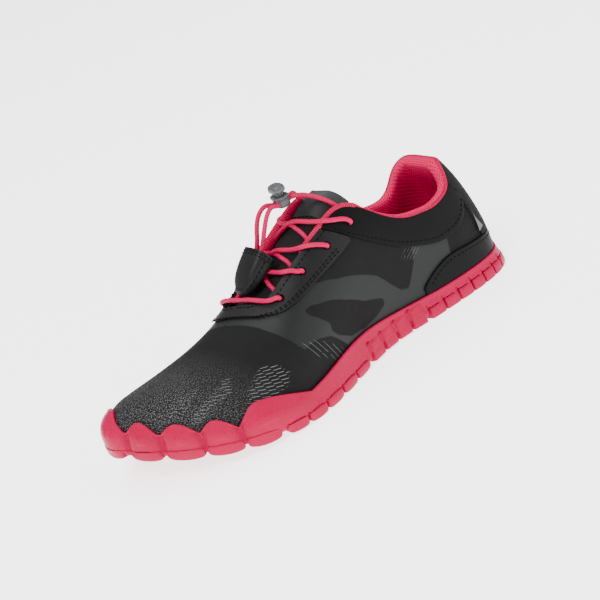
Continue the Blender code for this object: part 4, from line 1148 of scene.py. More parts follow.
tread = bmesh.new()
for name, first, final, count, share, depth, rib, slant in LUG_ROWS:
    pitch = (final - first) / count
    round_end = 1.0 if name.endswith("ball") else 0.12
    proud = 0.0005 if name.endswith("ball") else 0.0001
    share = share + LUG_FILL
    for i in range(count):
        start = first + pitch * i
        turns = np.linspace(-1, 1, 13)
        spots = start + pitch * share * (turns + 1) / 2
        bulge = np.sqrt(1 - turns ** 2 * 0.999)
        bulge = 1 - round_end + round_end * bulge
        ribs = LOW_RIB + (rib * CUP_HEIGHT - LOW_RIB) * (bulge if round_end == 1 else np.ones(len(spots)))
        lifts = LUG_HEIGHT * 0.35 * (1 - bulge)
        loft(tread, lug_loops(spots, depth * BALL_WIDTH, ribs, slant, lifts, proud))
for name, middle, back_reach, front_reach, height in LOBES:
    back_end = middle - (0.12 if name == "little_toe" else min(back_reach, 0.80) * 0.96)
    front_end = middle + min(front_reach, 0.90) * 0.96
    turns = np.linspace(-1, 1, 21)
    spots = back_end + (front_end - back_end) * (turns + 1) / 2
    bulge = np.sqrt(1 - turns ** 2 * 0.998)
    lifts = LUG_HEIGHT * 0.85 * (1 - bulge)
    ribs = STEP_HEIGHT * 1.12 + STEP_HEIGHT * 0.35 * bulge
    loft(tread, lug_loops(spots, 0.15 * BALL_WIDTH, ribs, 0.0, lifts, 0.0006 * bulge - 0.0001))
studs = [(name, x * LENGTH, y * BALL_WIDTH / 2, radius * STUD_RADIUS) for name, x, y, radius in STUDS]
studs.append(("heel_middle", HEEL_STUD_X * LENGTH, 0.0, HEEL_STUD_RADIUS))
for name, x, y, radius in studs:
    lift = float(spring(np.float64(x)) + arch(np.float64(x)))
    loops = []
    for height, size in ((0.0, 1.0), (LUG_HEIGHT * 0.5, 1.0), (LUG_HEIGHT + PLATE / 2, 1.06)):
        turns = [math.pi * 2 * i / 6 for i in range(6)]
        wide = radius * size
        loops.append([(x + wide * math.cos(t), y + wide * math.sin(t), height + lift) for t in turns])
    loft(tread, loops)
tread_data = lofted_data("sole_tread", tread)
lugs = add_piece("sole_tread", tread_data, rubber.material)
round_edges(lugs, TREAD_ROUNDING, 35)
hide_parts("outsole")
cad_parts["insole"].data.materials.clear()
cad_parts["insole"].data.materials.append(foam.material)
print("lugs:", len(tread_data.polygons), "faces")

# %% [markdown]
# ## The upper: where the print lies
# The film's windows are free shapes, so each is a closed outline in station and rise, the shoe's
# flattened side. Each point of the knit stores its distance into the outlines, and the material
# turns that distance into a sharp or soft edge, so the edge stays clean on any grid.

# %% Outlines of the print
FILM = ((6.00, 1.00), (5.95, 0.81), (5.91, 0.63), (5.83, 0.457), (5.73, 0.292), (5.45, 0.25),
        (5.20, 0.18), (4.95, 0.06), (4.80, -0.05), (2.60, -0.05), (2.40, 0.19), (3.12, 0.19),
        (3.20, 0.123), (3.33, 0.084), (3.46, 0.054), (3.61, 0.064), (3.72, 0.097), (3.90, 0.165),
        (4.21, 0.238), (4.57, 0.328), (4.90, 0.447), (5.10, 0.56), (5.40, 0.70), (5.55, 1.00))
WINDOW = ((5.33, 0.442), (5.22, 0.418), (5.09, 0.367), (4.85, 0.292), (4.64, 0.221), (4.30, 0.130),
          (3.98, 0.086), (3.95, 0.074), (3.99, 0.062), (4.20, 0.053), (4.50, 0.055), (4.84, 0.082),
          (5.06, 0.14), (5.14, 0.192), (5.10, 0.225), (5.23, 0.317), (5.31, 0.375), (5.35, 0.420))
DASH_ZONES = (((7.26, 0.15), (7.06, 0.22), (6.83, 0.37), (6.44, 0.49), (6.23, 0.41), (6.12, 0.26),
              (6.29, 0.22), (6.57, 0.17)), ((8.20, 0.205), (7.91, 0.22), (7.62, 0.35), (7.41, 0.38),
              (7.12, 0.42), (6.93, 0.57), (7.02, 0.60), (7.30, 0.53), (7.65, 0.44), (7.99, 0.32)), )
FAINT_ZONES = (((8.85, 0.28), (8.47, 0.56), (7.81, 0.66), (7.58, 0.64), (7.90, 0.50), (8.40, 0.34)),)
HATCH_ZONES = (
    ((5.76, 0.35), (5.54, 0.28), (5.07, 0.07), (5.29, 0.066), (5.60, 0.18)),
    ((3.38, 0.155), (3.26, 0.194), (2.98, 0.158), (3.18, 0.129)),
)
RISE_MM = 95.0


def inside_mm(stations, rises, outline_points):
    """Distance into an outline in millimetres, negative outside it."""
    x = along_mm(np.minimum(stations, ROUND - stations))
    y = rises * RISE_MM
    points = np.array([(float(along_mm(k)), r * RISE_MM) for k, r in outline_points])
    nearest = np.full(x.shape, 1e9)
    inside = np.zeros(x.shape, bool)
    for (ax, ay), (bx, by) in zip(points, np.roll(points, -1, axis=0)):
        length = (bx - ax) ** 2 + (by - ay) ** 2
        share = np.clip(((x - ax) * (bx - ax) + (y - ay) * (by - ay)) / length, 0, 1)
        gap = np.hypot(x - ax - share * (bx - ax), y - ay - share * (by - ay))
        nearest = np.minimum(nearest, gap)
        crosses = (ay > y) != (by > y)
        slope = np.where(crosses, (bx - ax) * (y - ay) / (by - ay if by != ay else 1) + ax, 0)
        inside ^= crosses & (x < slope)
    return np.clip(np.where(inside, nearest, -nearest), -6, 6)


def in_zones(stations, rises, zones):
    """1 inside any of the outlines, with an edge a millimetre wide."""
    return np.max([np.clip(inside_mm(stations, rises, zone) + 0.5, 0, 1) for zone in zones], axis=0)


def print_fields(stations, rises):
    """What the knit's material needs to know at each grid point."""
    film_depth = np.minimum(inside_mm(stations, rises, FILM), -inside_mm(stations, rises, WINDOW))
    side = np.minimum(stations % ROUND, ROUND - stations % ROUND)
    return {
        "film": film_depth,
        "toe": along_mm(side) - along_mm(5.95) + 8 * (1 - rises),
        "dashes": in_zones(stations, rises, DASH_ZONES) + 0.45 * in_zones(stations, rises, FAINT_ZONES),
        "hatch": in_zones(stations, rises, HATCH_ZONES),
        "front": np.where(side > 4.5, 1.0, 0.0),
    }


print("outlines:", 2 + len(DASH_ZONES) + len(FAINT_ZONES) + len(HATCH_ZONES))

# %% [markdown]
# ### The knit
# The upper is one thin sock. It could be sculpted, but a grid over the last gives its shape at
# once: one column for each station, from the sole's edge up to the opening. The point where the
# columns meet over the toes is smoothed, then the sheet gets its wall and its eyelets are cut.

# %% The knitted upper
corners = THROAT_END + tuple(ROUND - station for station in THROAT_END)
upper_stations = fine(0, ROUND, 0.04, corners)
UPPER_ROWS = 56
TOE_REACH = 0.020
TOE_PASSES = 30
upper = shell_sheet("knit_upper", upper_stations, lambda s: 0.0, opening, UPPER_ROWS, 0.0, knit.material,
                    print_fields)
toe_x = SECTIONS[-1][1] * LENGTH
toe_end = Vector(to_frame((toe_x, float(RIDGE_Y(toe_x)), 0)))
shape = bmesh.new()
shape.from_mesh(upper.data)
near_toe = [v for v in shape.verts if (v.co.xy - toe_end.xy).length < TOE_REACH and v.co.z > CUP_HEIGHT]
for _ in range(TOE_PASSES):
    bmesh.ops.smooth_vert(shape, verts=near_toe, factor=0.5,
                          use_axis_x=True, use_axis_y=True, use_axis_z=True)
shape.to_mesh(upper.data)
shape.free()
give_wall(upper, UPPER_WALL, -outward(upper.data))
holes = list(EYELETS) + [(ROUND - station, rise) for station, rise in EYELETS]
punch(upper, holes, EYELET_RADIUS)
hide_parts("upper")
print("upper:", len(upper.data.polygons), "faces")

# %% [markdown]
# ### Bands, eyestay and counter
# These overlays are cut from flat sheet and glued or sewn on the knit. Each is a grid between an
# upper and a lower edge line on the last, lifted by its own thickness and given a wall, so its
# cut edge shows as a thin step.

# %% Overlays
CUT_EDGE = 0.0003


def band_top(station):
    """Upper edge of the collar band: its rear edge first, then the collar."""
    at = min(station % ROUND, ROUND - station % ROUND)
    if at < BAND_BACK[-1][0]:
        return min(opening(station), float(BAND_BACK_LINE(at)))
    return opening(station)


def rim_rise(station):
    """Rise just above the cup's rim."""
    return float(rise_at(station % ROUND, rim_height(station % ROUND) + RIM_WALL * 0.25 + 2 * CLEARANCE))


band_turns = [row[0] for row in BAND_EDGE] + [row[0] for row in OPENING] + [BAND_BACK[-1][0]]
for side, sign in (("outer", 1), ("inner", -1)):
    turns = [sign * turn for turn in band_turns]
    spots = fine(sign * BAND_EDGE[0][0], sign * BAND_EDGE[-1][0], 0.04, turns)
    band = shell_sheet(f"band_{side}", spots, either(BAND_LINE), band_top, 20, OVERLAY_LIFT,
                       overlay.material)
    give_wall(band, OVERLAY, outward(band.data), CUT_EDGE)
    punch(band, [holes[3 if sign > 0 else 7]], EYELET_RADIUS)
    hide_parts(f"collar_band_{side}")

counter_top = either(lambda at: rise_at(at, COUNTER_LINE(at) * CUP_HEIGHT))
counter_end = COUNTER_EDGE[-1][0]
spots = fine(-counter_end, counter_end, 0.05, (-2.82, -3.05, 3.05, 2.82))
counter = shell_sheet("counter", spots, rim_rise, counter_top, 10, CLEARANCE, overlay.material)
give_wall(counter, OVERLAY, outward(counter.data), CUT_EDGE)
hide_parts("heel_counter")

tab_corner = BAND_BACK[0][0] + 0.01


def tab_low(at):
    """Lower edge of the heel tab: the counter's edge, then the band's rear edge."""
    if at < tab_corner:
        return float(rise_at(at, COUNTER_LINE(at) * CUP_HEIGHT + 2 * CLEARANCE))
    return float(BAND_BACK_LINE(at)) + 0.012


def plain_fields(stations, rises):
    """The knit's material without any print."""
    none = np.zeros(rises.shape)
    return {"film": none - 6, "toe": none - 50, "dashes": none, "hatch": none, "front": none}


tab_end = BAND_BACK[-1][0] - 0.02
tab_turns = [side * tab_corner + step for side in (-1, 1) for step in (-0.02, 0.02)]
spots = fine(-tab_end, tab_end, 0.04, tab_turns)
tab = shell_sheet("tab", spots, either(tab_low), opening, 30, CLEARANCE, knit.material,
                  plain_fields)
give_wall(tab, OVERLAY, outward(tab.data), CUT_EDGE)
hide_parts("heel_tab")

EYESTAY_END = EYESTAY_EDGE[-1][0]


def eyestay_top(station):
    """The band's lower edge first, then the throat's edge."""
    at = min(station, ROUND - station)
    if at < BAND_EDGE[-1][0] + 0.02:
        return min(opening(station), float(BAND_LINE(at)) - 0.012)
    return opening(station)


def eyestay_columns(side):
    """Grid of one leg of the eyestay, from the ankle to the front."""
    turns = [row[0] for row in EYESTAY_EDGE + BAND_EDGE] + list(THROAT_END) + [5.83, 5.86]
    spots = fine(4.06, EYESTAY_END, 0.03, turns)
    at = spots if side > 0 else ROUND - spots
    lows = np.array([float(EYESTAY_LINE(s)) for s in spots])[:, None]
    highs = np.array([eyestay_top(s) for s in at])[:, None]
    rises = lows + (highs - lows) * np.linspace(0, 1, 20)[None, :]
    grid = np.broadcast_to(at[:, None], rises.shape)
    return grid, rises


legs = [eyestay_columns(1), eyestay_columns(-1)]
grid = np.concatenate([legs[0][0], legs[1][0][::-1]])
rises = np.concatenate([legs[0][1], legs[1][1][::-1]])
points = shell(grid, rises, OVERLAY_LIFT)
uvs = np.stack([along_mm(grid), column_lengths(points)], -1)
stay_data = grid_data("stay", points, uvs)
stay = add_piece("stay", stay_data, upper_overlay.material)
give_wall(stay, OVERLAY, outward(stay_data), CUT_EDGE)
punch(stay, holes[:3] + holes[4:7], EYELET_RADIUS)
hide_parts("eyestay")
print("eyestay:", len(stay.data.polygons), "faces")

# %% [markdown]
# ### The padding in the collar
# Foam under the mesh makes the collar swell inwards and round over its edge. The lining follows
# the same last from inside, with a soft bulge that fades towards the insole.

# %% Padded lining
LINING_FRONT = 3.86
LINING_DEPTH = 0.62
LINING_ROWS = 40


def lining_points(stations):
    """Sections of the lining at all stations, as points of smooth closed curves."""
    face = -(UPPER_WALL + INNER_CLEARANCE)
    edge = np.array([opening(station) for station in stations])
    full = np.interp(np.abs(stations), (0, 3.0, LINING_FRONT), (1.0, 0.75, 0.0))
    padding = LINING_END + (LINING_PAD - LINING_END) * full
    reach = np.linalg.norm(shell(stations, edge + 0.01) - shell(stations, edge), axis=-1) / 0.01
    bead = LINING_BEAD / reach
    low = edge * (1 - LINING_DEPTH)
    flat_face = face + 0 * edge
    knots = (
        (low, flat_face), ((low + edge) / 2, flat_face), (edge - bead * 0.3, flat_face),
        (edge + bead * 0.35, face + (UPPER_WALL + INNER_CLEARANCE) * (0.75 * full + 0.1)),
        (edge + bead * 0.85, face + UPPER_WALL * 0.2 * full), (edge + bead, face - padding * 0.3),
        (edge + bead * 0.5, face - padding * 0.9), (edge - bead * 1.6, face - padding),
        ((low + edge) / 2, face - padding * 0.8), (low, flat_face - LINING_END), (low, flat_face),
    )
    turn = Smooth(range(len(knots)), np.array(knots), True)
    section = turn(np.linspace(0, len(knots) - 1, LINING_ROWS + 1)[:-1])
    return shell(stations[:, None], section[:, 0].T, section[:, 1].T)


lining_turns = [row[0] for row in OPENING] + [-row[0] for row in OPENING]
spots = fine(-LINING_FRONT, LINING_FRONT, 0.045, lining_turns)
points = lining_points(spots)
ring_mm = run_length(points[:, LINING_ROWS * 7 // 10]) * 1000
uvs = np.stack([np.broadcast_to(ring_mm[:, None], points.shape[:2]), column_lengths(points)], -1)
lining_data = grid_data("padded_lining", points, uvs, (False, True))
pad = add_piece("padded_lining", lining_data, lining.material)
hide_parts("collar_lining")
print("lining:", len(pad.data.polygons), "faces")

# %% [markdown]
# ### The tongue
# The tongue fills the throat from below and reaches a little above the collar. It is one grid
# that follows the ridge of the foot, a little fuller near its top. A faint mark on the real tongue
# is left out, so its surface is bare.

# %% Tongue
TONGUE_TOP_SHARE = 0.24
TONGUE_MM = 78


def tongue_rows(share):
    """Stations and rises across the tongue, from the outer edge over the ridge to the inner one."""
    far = TONGUE_EDGE[-1][0]
    outer = []
    for row in np.linspace(0, 1, 24):
        start = 3.66 + 0.16 * row
        station = start + (far - start) * share
        edge = float(TONGUE_LINE(station))
        outer.append((station, edge + (1 - edge) * row))
    return outer + [(ROUND - station, rise) for station, rise in outer[-2::-1]]


shares = np.linspace(0, 1, 110)
rows = np.array([tongue_rows(share) for share in shares])
puff = 0.0006 * np.clip(1 - np.abs(shares - 0.08) / 0.16, 0, 1)[:, None]
points = shell(rows[..., 0], rows[..., 1], -TONGUE_DROP + puff)
across_mm = column_lengths(points)
down_mm = np.broadcast_to((shares * TONGUE_MM)[:, None], across_mm.shape)
top_mm = np.broadcast_to((TONGUE_TOP_SHARE - shares)[:, None] * TONGUE_MM, across_mm.shape)
tongue_data = grid_data("tongue_pad", points, np.stack([across_mm, down_mm], -1), values={"top": top_mm})
tongue = add_piece("tongue_pad", tongue_data, tongue_cloth.material)
give_wall(tongue, TONGUE_WALL, -outward(tongue_data), 0.0007)
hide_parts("tongue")
print("tongue:", len(tongue.data.polygons), "faces")

# %% [markdown]
# ## Lace
# The lace is a round braided cord. Each stretch is a tube swept along a smooth path, which dips
# into its eyelet at one end and under the throat's edge at the other.

# %% Cords
CORD_SIDES = 14
CORD_SPACING = 0.0007


def smooth_path(points, spacing):
    """Points a fixed distance apart on a smooth curve through chosen ones."""
    points = np.array([np.asarray(point, float) for point in points])
    reach = run_length(points)
    curve = Smooth(reach, points)
    count = max(2, round(reach[-1] / spacing))
    return curve(np.linspace(0, reach[-1], count + 1))


def sweep(path, radius, sides=CORD_SIDES):
    """Rings of points round a path, and their UV in millimetres and turns."""
    ahead = unit(np.gradient(path, axis=0))
    normal = np.cross(ahead[0], (0.0, 0.3, 1.0))
    rings, uvs = [], []
    reach = run_length(path) * 1000
    radii = np.broadcast_to(radius, (len(path),))
    for point, way, gone, size in zip(path, ahead, reach, radii):
        normal = normal - way * normal.dot(way)
        normal /= np.linalg.norm(normal)
        side = np.cross(way, normal)
        turns = np.linspace(0, 2 * math.pi, sides + 1)
        rings.append([point + size * (normal * math.cos(t) + side * math.sin(t)) for t in turns])
        uvs.append([(gone, t * 6) for t in turns])
    return np.array(rings), np.array(uvs)


def lace_tube(name, path):
    """A stretch of lace along chosen points, with its ends drawn in."""
    path = smooth_path(path, CORD_SPACING)
    sizes = np.full(len(path), LACE_RADIUS)
    sizes[[0, -1]] *= 0.15
    sizes[[1, -2]] *= 0.8
    rings, uvs = sweep(path, sizes)
    return add_piece(name, grid_data(name, rings, uvs), lace.material), path


OVER_EYESTAY = OVERLAY_LIFT + OVERLAY + CLEARANCE + LACE_RADIUS
OVER_TONGUE = -TONGUE_DROP + CLEARANCE + LACE_RADIUS
EYELET_CAP = 0.0002


def across(station, share, out, side=1):
    """A point off the last at a share of its half width, which is negative on the other side."""
    rise = math.acos(min(abs(share), 1) ** (float(SQUARENESS(station)) / 2)) * 2 / math.pi
    return shell(station if share * side >= 0 else ROUND - station, rise, out)


def width_share(station, rise):
    """The share of the half width that a rise has at a station."""
    return math.cos(rise * math.pi / 2) ** (2 / float(SQUARENESS(station)))


def strand(number, side):
    """Chosen points of one strand: up through its eyelet, over the tongue and under the far edge."""
    station, rise = EYELETS[number]
    near, middle, far = STRANDS[number - 1]
    start = width_share(station, rise)
    edge = width_share(near, opening(near if side > 0 else ROUND - near))
    end = width_share(far, opening(ROUND - far if side > 0 else far))
    high = OVER_EYESTAY + EYELET_CAP
    lift = 0.0012 if side > 0 else 0.0
    near = near + 0.04
    reach = middle - near
    route = (
        (station, start + 0.012, -0.0042),
        (station, start + 0.008, -0.0006),
        (station + 0.012, start - 0.006, high * 0.86),
        (station + 0.05, start - 0.03, high),
        ((station + near) / 2 + 0.01, (start + edge) / 2, high),
        (near, edge, high + 0.0001),
        (near + reach * 0.60, edge * 0.72, OVER_TONGUE + 0.0024),
        (near + reach * 0.85, edge * 0.38, OVER_TONGUE + 0.0010 + lift),
        (middle, 0.0, OVER_TONGUE + lift + 0.0002),
        ((middle + far) / 2, -end * 0.42, OVER_TONGUE + 0.0004),
        (far, 0.05 - end, OVER_TONGUE + 0.0001),
        (far + 0.05, -0.06 - end, OVER_TONGUE - 0.0006),
    )
    return [across(*spot, side) for spot in route]


for number in range(1, len(EYELETS)):
    for side, side_name in ((1, "outer"), (-1, "inner")):
        cord, path = lace_tube(f"strand_{number}_{side_name}", strand(number, side))
        if side > 0:
            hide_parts(f"lace_crossing_{number}")

station, rise = EYELETS[0]
high = OVER_EYESTAY + EYELET_CAP
below = ((station, rise - 0.004, -0.0042), (station, rise, -0.0004))
near_half = below + ((station + 0.02, rise + 0.012, high * 0.9), (5.53, 0.725, high), (5.58, 0.79, high),
                     (5.59, 0.86, high - 0.0006), (5.59, 0.93, high - 0.0012))
far_half = below + ((station + 0.02, rise + 0.015, high * 0.9), (5.50, 0.77, high),
                    (5.54, 0.86, high - 0.0004), (5.57, 0.94, high - 0.0010))
far_half = tuple((ROUND - k, r, out) for k, r, out in far_half[::-1])
route = near_half + ((5.59, 1.0, high - 0.0014),) + far_half
bar, path = lace_tube("strand_front", [shell(*spot) for spot in route])
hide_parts("lace_bar_1")
print("front bar:", round(run_length(path)[-1] * 1000), "mm of lace")

# %% [markdown]
# ### The loose ends
# Above the throat the lace is free. It hangs as an arch from the last eyelets to the cord lock,
# and from there down to the pocket. Its rest shape is known from the photograph, so a curve
# through a few points is enough.

# %% Free lace


def lace_top(side):
    """Foot of a free lace end, from under the throat's edge up off the tongue."""
    (near, start), (far, lifted) = LACE_TOP_START
    return [across(near - 0.12, start + 0.30, OVER_TONGUE - 0.0014, side),
            across(near - 0.05, start + 0.12, OVER_TONGUE - 0.0004, side),
            across(near, start, OVER_TONGUE + 0.0003, side),
            across(far, lifted, OVER_TONGUE + 0.0010, side)]


free = {
    "lace_top_outer": lace_top(1) + list(LACE_TOP_OUTER) + [(0.1150, -0.0012, 0.0998)],
    "lace_top_inner": lace_top(-1) + list(LACE_TOP_INNER) + [(0.1150, -0.0050, 0.0998)],
    "lace_tail_outer": [(0.1200, -0.0012, 0.0998)] + list(LACE_TAIL_OUTER) + [(0.1475, -0.0016, 0.0780)],
    "lace_tail_inner": [(0.1200, -0.0050, 0.0998)] + list(LACE_TAIL_INNER) + [(0.1480, -0.0050, 0.0780)],
}
free_cords = {}
for name, route in free.items():
    cord, path = lace_tube(name.replace("lace", "free"), route)
    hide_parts(name)
    free_cords[name] = (cord, path)
print("free stretches:", len(free_cords))

# %% [markdown]
# ### The cord lock
# Two moulded pieces grip the lace: a barrel and a sprung button. Both have an oblong plan with
# rounded edges. They are built as loops stacked up like turned work, which gives smooth edges
# without a bevel. The button rides its own body, so it can be pressed in.

# %% Cord lock
LOCK_CORNERS = 48
LOCK_SQUARENESS = 2.6
LOCK_SWAY = 0.0025
lock_x = 0.4385 * LENGTH
lock_foot = np.array([lock_x, float(RIDGE_Y(lock_x)) - LOCK_SWAY, float(RIDGE_Z(lock_x)) + LOCK_STAND])


def oblong(turn):
    """A cosine or sine, drawn out towards the corners of a rounded oblong."""
    return np.sign(turn) * np.abs(turn) ** (2 / LOCK_SQUARENESS)


def turned_piece(name, table, lift, body):
    """A closed shape from oblong loops. Each row of its table: half x, half y, height."""
    smooth = Smooth(np.arange(len(table)), table)
    heights = np.linspace(0, len(table) - 1, 8 * len(table))
    turns = np.linspace(0, 2 * math.pi, LOCK_CORNERS, endpoint=False)
    loops = []
    for half_x, half_y, height in smooth(heights):
        x = oblong(np.cos(turns)) * half_x
        y = oblong(np.sin(turns)) * half_y
        loops.append(lock_foot + np.stack([x, y, np.full(LOCK_CORNERS, height + lift)], -1))
    data = grid_data(name, np.array(loops), closed=(False, True))
    return add_piece(name, data, plastic.material, body)


BARREL = ((0.0002, 0.0003, 0.0002), (0.0028, 0.0040, 0.0001), (0.0038, 0.0052, 0.0006),
          (0.0041, 0.0056, 0.0020), (0.0041, 0.0057, 0.0042), (0.0044, 0.0061, 0.0055),
          (0.0046, 0.0064, 0.0062), (0.0044, 0.0062, 0.0069), (0.0036, 0.0050, 0.0070),
          (0.0027, 0.0038, 0.0069), (0.0026, 0.0036, 0.0055), (0.0002, 0.0003, 0.0030))
BUTTON = ((0.0002, 0.0003, -0.0050), (0.0022, 0.0032, -0.0049), (0.0024, 0.0034, -0.0030),
          (0.0024, 0.0034, -0.0004), (0.0034, 0.0048, 0.0001), (0.0041, 0.0057, 0.0008),
          (0.0042, 0.0058, 0.0020), (0.0038, 0.0053, 0.0034), (0.0030, 0.0044, 0.0041),
          (0.0020, 0.0032, 0.0039), (0.0002, 0.0003, 0.0036))
barrel = turned_piece("barrel", BARREL, 0.0, "shoe")
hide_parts("lock_barrel")
button_lift = BARREL_HEIGHT + BUTTON_TRAVEL + CLEARANCE
button = turned_piece("button", BUTTON, button_lift, "lock_button_body")
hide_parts("lock_button")
for name, (cord, path) in free_cords.items():
    [barrel, button] if name == "lace_tail_outer" else []

# %% [markdown]
# ### The lace pocket
# A small pouch of thick cloth takes the end of the lace. A box would look too stiff, so its
# sections are rounded loops that shrink from the open mouth to the closed tip.

# %% Pocket
# Each row: share of the length, half widths of base and face and the depth, as shares of it.
POCKET = ((0.00, 0.46, 0.37, 0.50), (0.30, 0.45, 0.37, 0.45), (0.60, 0.40, 0.34, 0.38),
          (0.82, 0.31, 0.28, 0.30), (0.94, 0.22, 0.20, 0.24))
POCKET_X = 0.527
POCKET_SEAT = 0.0006
POCKET_CORNERS = 40
TIP_REACH = 0.0030
mouth_x = POCKET_X * LENGTH
tip_x = mouth_x + POCKET_LENGTH * 0.9
mouth = np.array([mouth_x, float(RIDGE_Y(mouth_x)), float(RIDGE_Z(mouth_x)) + POCKET_SEAT])
tip = np.array([tip_x, float(RIDGE_Y(tip_x)), float(RIDGE_Z(tip_x)) + POCKET_SEAT])
pocket_along = unit(tip - mouth)
pocket_across = np.array([0.0, 1.0, 0.0])
pocket_up = np.cross(pocket_along, pocket_across)
pocket_up *= np.sign(pocket_up[2]) / np.linalg.norm(pocket_up)
pocket_rows = Smooth([row[0] for row in POCKET], [row[1:] for row in POCKET])


def pocket_loop(share, out=0.0):
    """A rounded section of the pocket at a share of its length."""
    base, face, depth = pocket_rows(share) * POCKET_LENGTH
    half = ((0, 0), (base * 0.8, 0), (base, depth * 0.12), (face * 1.05, depth * 0.86),
            (face * 0.8, depth))
    knots = np.array(half + ((0, depth * 1.04),) + tuple((-y, z) for y, z in half[::-1]))
    reach = run_length(knots)
    at = np.linspace(0, reach[-1], POCKET_CORNERS + 1)[:-1]
    spots = np.stack([np.interp(at, reach, knots[:, i]) for i in range(2)], -1)
    for _ in range(2):
        spots = (np.roll(spots, 1, axis=0) + 2 * spots + np.roll(spots, -1, axis=0)) / 4
    middle = np.array([0.0, depth / 2])
    spots = middle + (spots - middle) * (1 + out / (depth / 2))
    centre = mouth + pocket_along * (POCKET_LENGTH * share)
    return centre + pocket_across * spots[:, :1] + pocket_up * spots[:, 1:]


POCKET_END = POCKET[-1][0]
loops = [pocket_loop(share) for share in np.linspace(0, POCKET_END, 40)]
closing = loops[-1]
end = closing.mean(axis=0)
for shrink in (0.97, 0.88, 0.72, 0.45, 0.02):
    reach = TIP_REACH * math.sqrt(1 - shrink ** 2)
    loops.append(end + (closing - end) * shrink + pocket_along * reach)
pouch_data = grid_data("pouch", np.array(loops), closed=(False, True))
pouch = add_piece("pouch", pouch_data, upper_overlay.material)
give_wall(pouch, POCKET_WALL, -1, CUT_EDGE)
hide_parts("lace_pocket")
print("pocket:", round(POCKET_LENGTH * 1000, 1), "mm long")

# %% [markdown]
# ## Bindings
# A ribbed tape is folded over the raw edges of collar and throat. A flat strip could be bent over
# them, but at this width it looks like a thin roll, so a tube follows each edge. Along the
# throat it thins out at its ends.

# %% Bindings


def edge_binding(name, side, first, final, radius, out, above):
    """A ribbed roll along the throat's edge."""
    spots = fine(first, final, 0.02)
    at = spots if side > 0 else ROUND - spots
    path = np.array([shell(s, opening(s) + above, out) for s in at])
    fade = np.interp(spots, (first, first + 0.12, final - 0.08, final), (0.4, 1, 1, 0.3))
    rings, uvs = sweep(smooth_path(path, 0.0006), 1.0)
    count = len(rings)
    fades = np.interp(np.linspace(0, 1, count), np.linspace(0, 1, len(fade)), fade)
    centres = rings[:, :-1].mean(axis=1, keepdims=True)
    rings = centres + (rings - centres) * (radius * fades)[:, None, None]
    return add_piece(name, grid_data(name, rings, uvs), binding.material)


edge_binding("binding_outer", 1, 3.60, 4.80, 0.0019, -0.0002, 0.006)
edge_binding("binding_inner", -1, 3.60, 4.90, 0.0036, -0.0003, 0.022)

collar_spots = fine(-3.72, 3.72, 0.05)
collar_path = np.array([shell(s, opening(s) + 0.001, 0.0002) for s in collar_spots])
rings, uvs = sweep(smooth_path(collar_path, 0.0008), 0.0010)
add_piece("binding_collar", grid_data("binding_collar", rings, uvs), binding.material)
print("collar binding:", round(run_length(collar_path)[-1] * 1000), "mm")

# %% [markdown]
# ### Stitches
# Real seams are rows of short threads that dive into the cloth. Painted dashes would stay flat
# in a close view. Each stitch here is a tiny tube with sunk ends, and all are joined in one mesh
# so that the scene stays light.

# %% Stitches
STITCH = 0.0021
STITCH_GAP = 0.0009
STITCH_RADIUS = 0.00033
STITCH_SIDES = 6
LINE_SPACING = 0.0008
PROBE = 0.001

# One stitch: shares of its length, heights off the surface and radii
STITCH_SHARES = np.array([0.0, 0.12, 0.35, 0.65, 0.88, 1.0])
STITCH_LIFTS = np.array([-0.00030, -0.00005, 0.00010, 0.00010, -0.00005, -0.00030])
STITCH_RADII = np.array([0.35, 0.85, 1.0, 1.0, 0.85, 0.35]) * STITCH_RADIUS


def stitch_line(shape, path, normals):
    """Adds evenly spaced stitches along a path to a mesh."""
    reach = run_length(path)
    start = 0.0
    while start + STITCH < reach[-1]:
        at = start + STITCH * STITCH_SHARES
        spots = np.stack([np.interp(at, reach, path[:, i]) for i in range(3)], -1)
        up = np.stack([np.interp(at, reach, normals[:, i]) for i in range(3)], -1)
        rings, _ = sweep(spots + up * STITCH_LIFTS[:, None], STITCH_RADII, STITCH_SIDES)
        loft(shape, [ring[:-1] for ring in rings])
        start += STITCH + STITCH_GAP


def surface_line(table, out, inset=0.0):
    """A fine path off the last through rows of station and rise, and its outward directions."""
    table = np.array(table, float)
    reach = run_length(last(table[:, 0], table[:, 1]))
    at = np.linspace(0, reach[-1], int(reach[-1] / LINE_SPACING))
    stations = np.interp(at, reach, table[:, 0])
    rises = np.clip(np.interp(at, reach, table[:, 1]) + inset, 0, 1)
    path = shell(stations, rises, out)
    return path, (shell(stations, rises, out + PROBE) - path) / PROBE


def both_sides(table):
    """A one-sided table, and the same on the other side."""
    return [table, [(ROUND - station, rise) for station, rise in table]]


surface = OVERLAY_LIFT + OVERLAY
shape = bmesh.new()
for table in both_sides([row for row in EYESTAY_EDGE if row[0] > 4.06]):
    for inset in (0.022, 0.042):
        stitch_line(shape, *surface_line(table, surface, inset))
for table in both_sides([(s, float(BAND_LINE(s))) for s in np.linspace(1.60, 4.22, 60)]):
    stitch_line(shape, *surface_line(table, surface, 0.022))
throat = [(s, float(OPENING_OUTER(s)) - 0.055) for s in np.linspace(4.3, 5.5, 30)]
for table in both_sides(throat + [(5.62, 0.80), (5.69, 0.90), (5.70, 1.0)]):
    stitch_line(shape, *surface_line(table, surface))
counter_line = [(s, counter_top(s) - 0.016) for s in np.linspace(0.4, 3.1, 40)]
for table in both_sides(counter_line):
    stitch_line(shape, *surface_line(table, CLEARANCE + OVERLAY))
seam = np.array(tongue_rows(TONGUE_TOP_SHARE + 0.01))
path = shell(seam[:, 0], seam[:, 1], -TONGUE_DROP + 0.0002)
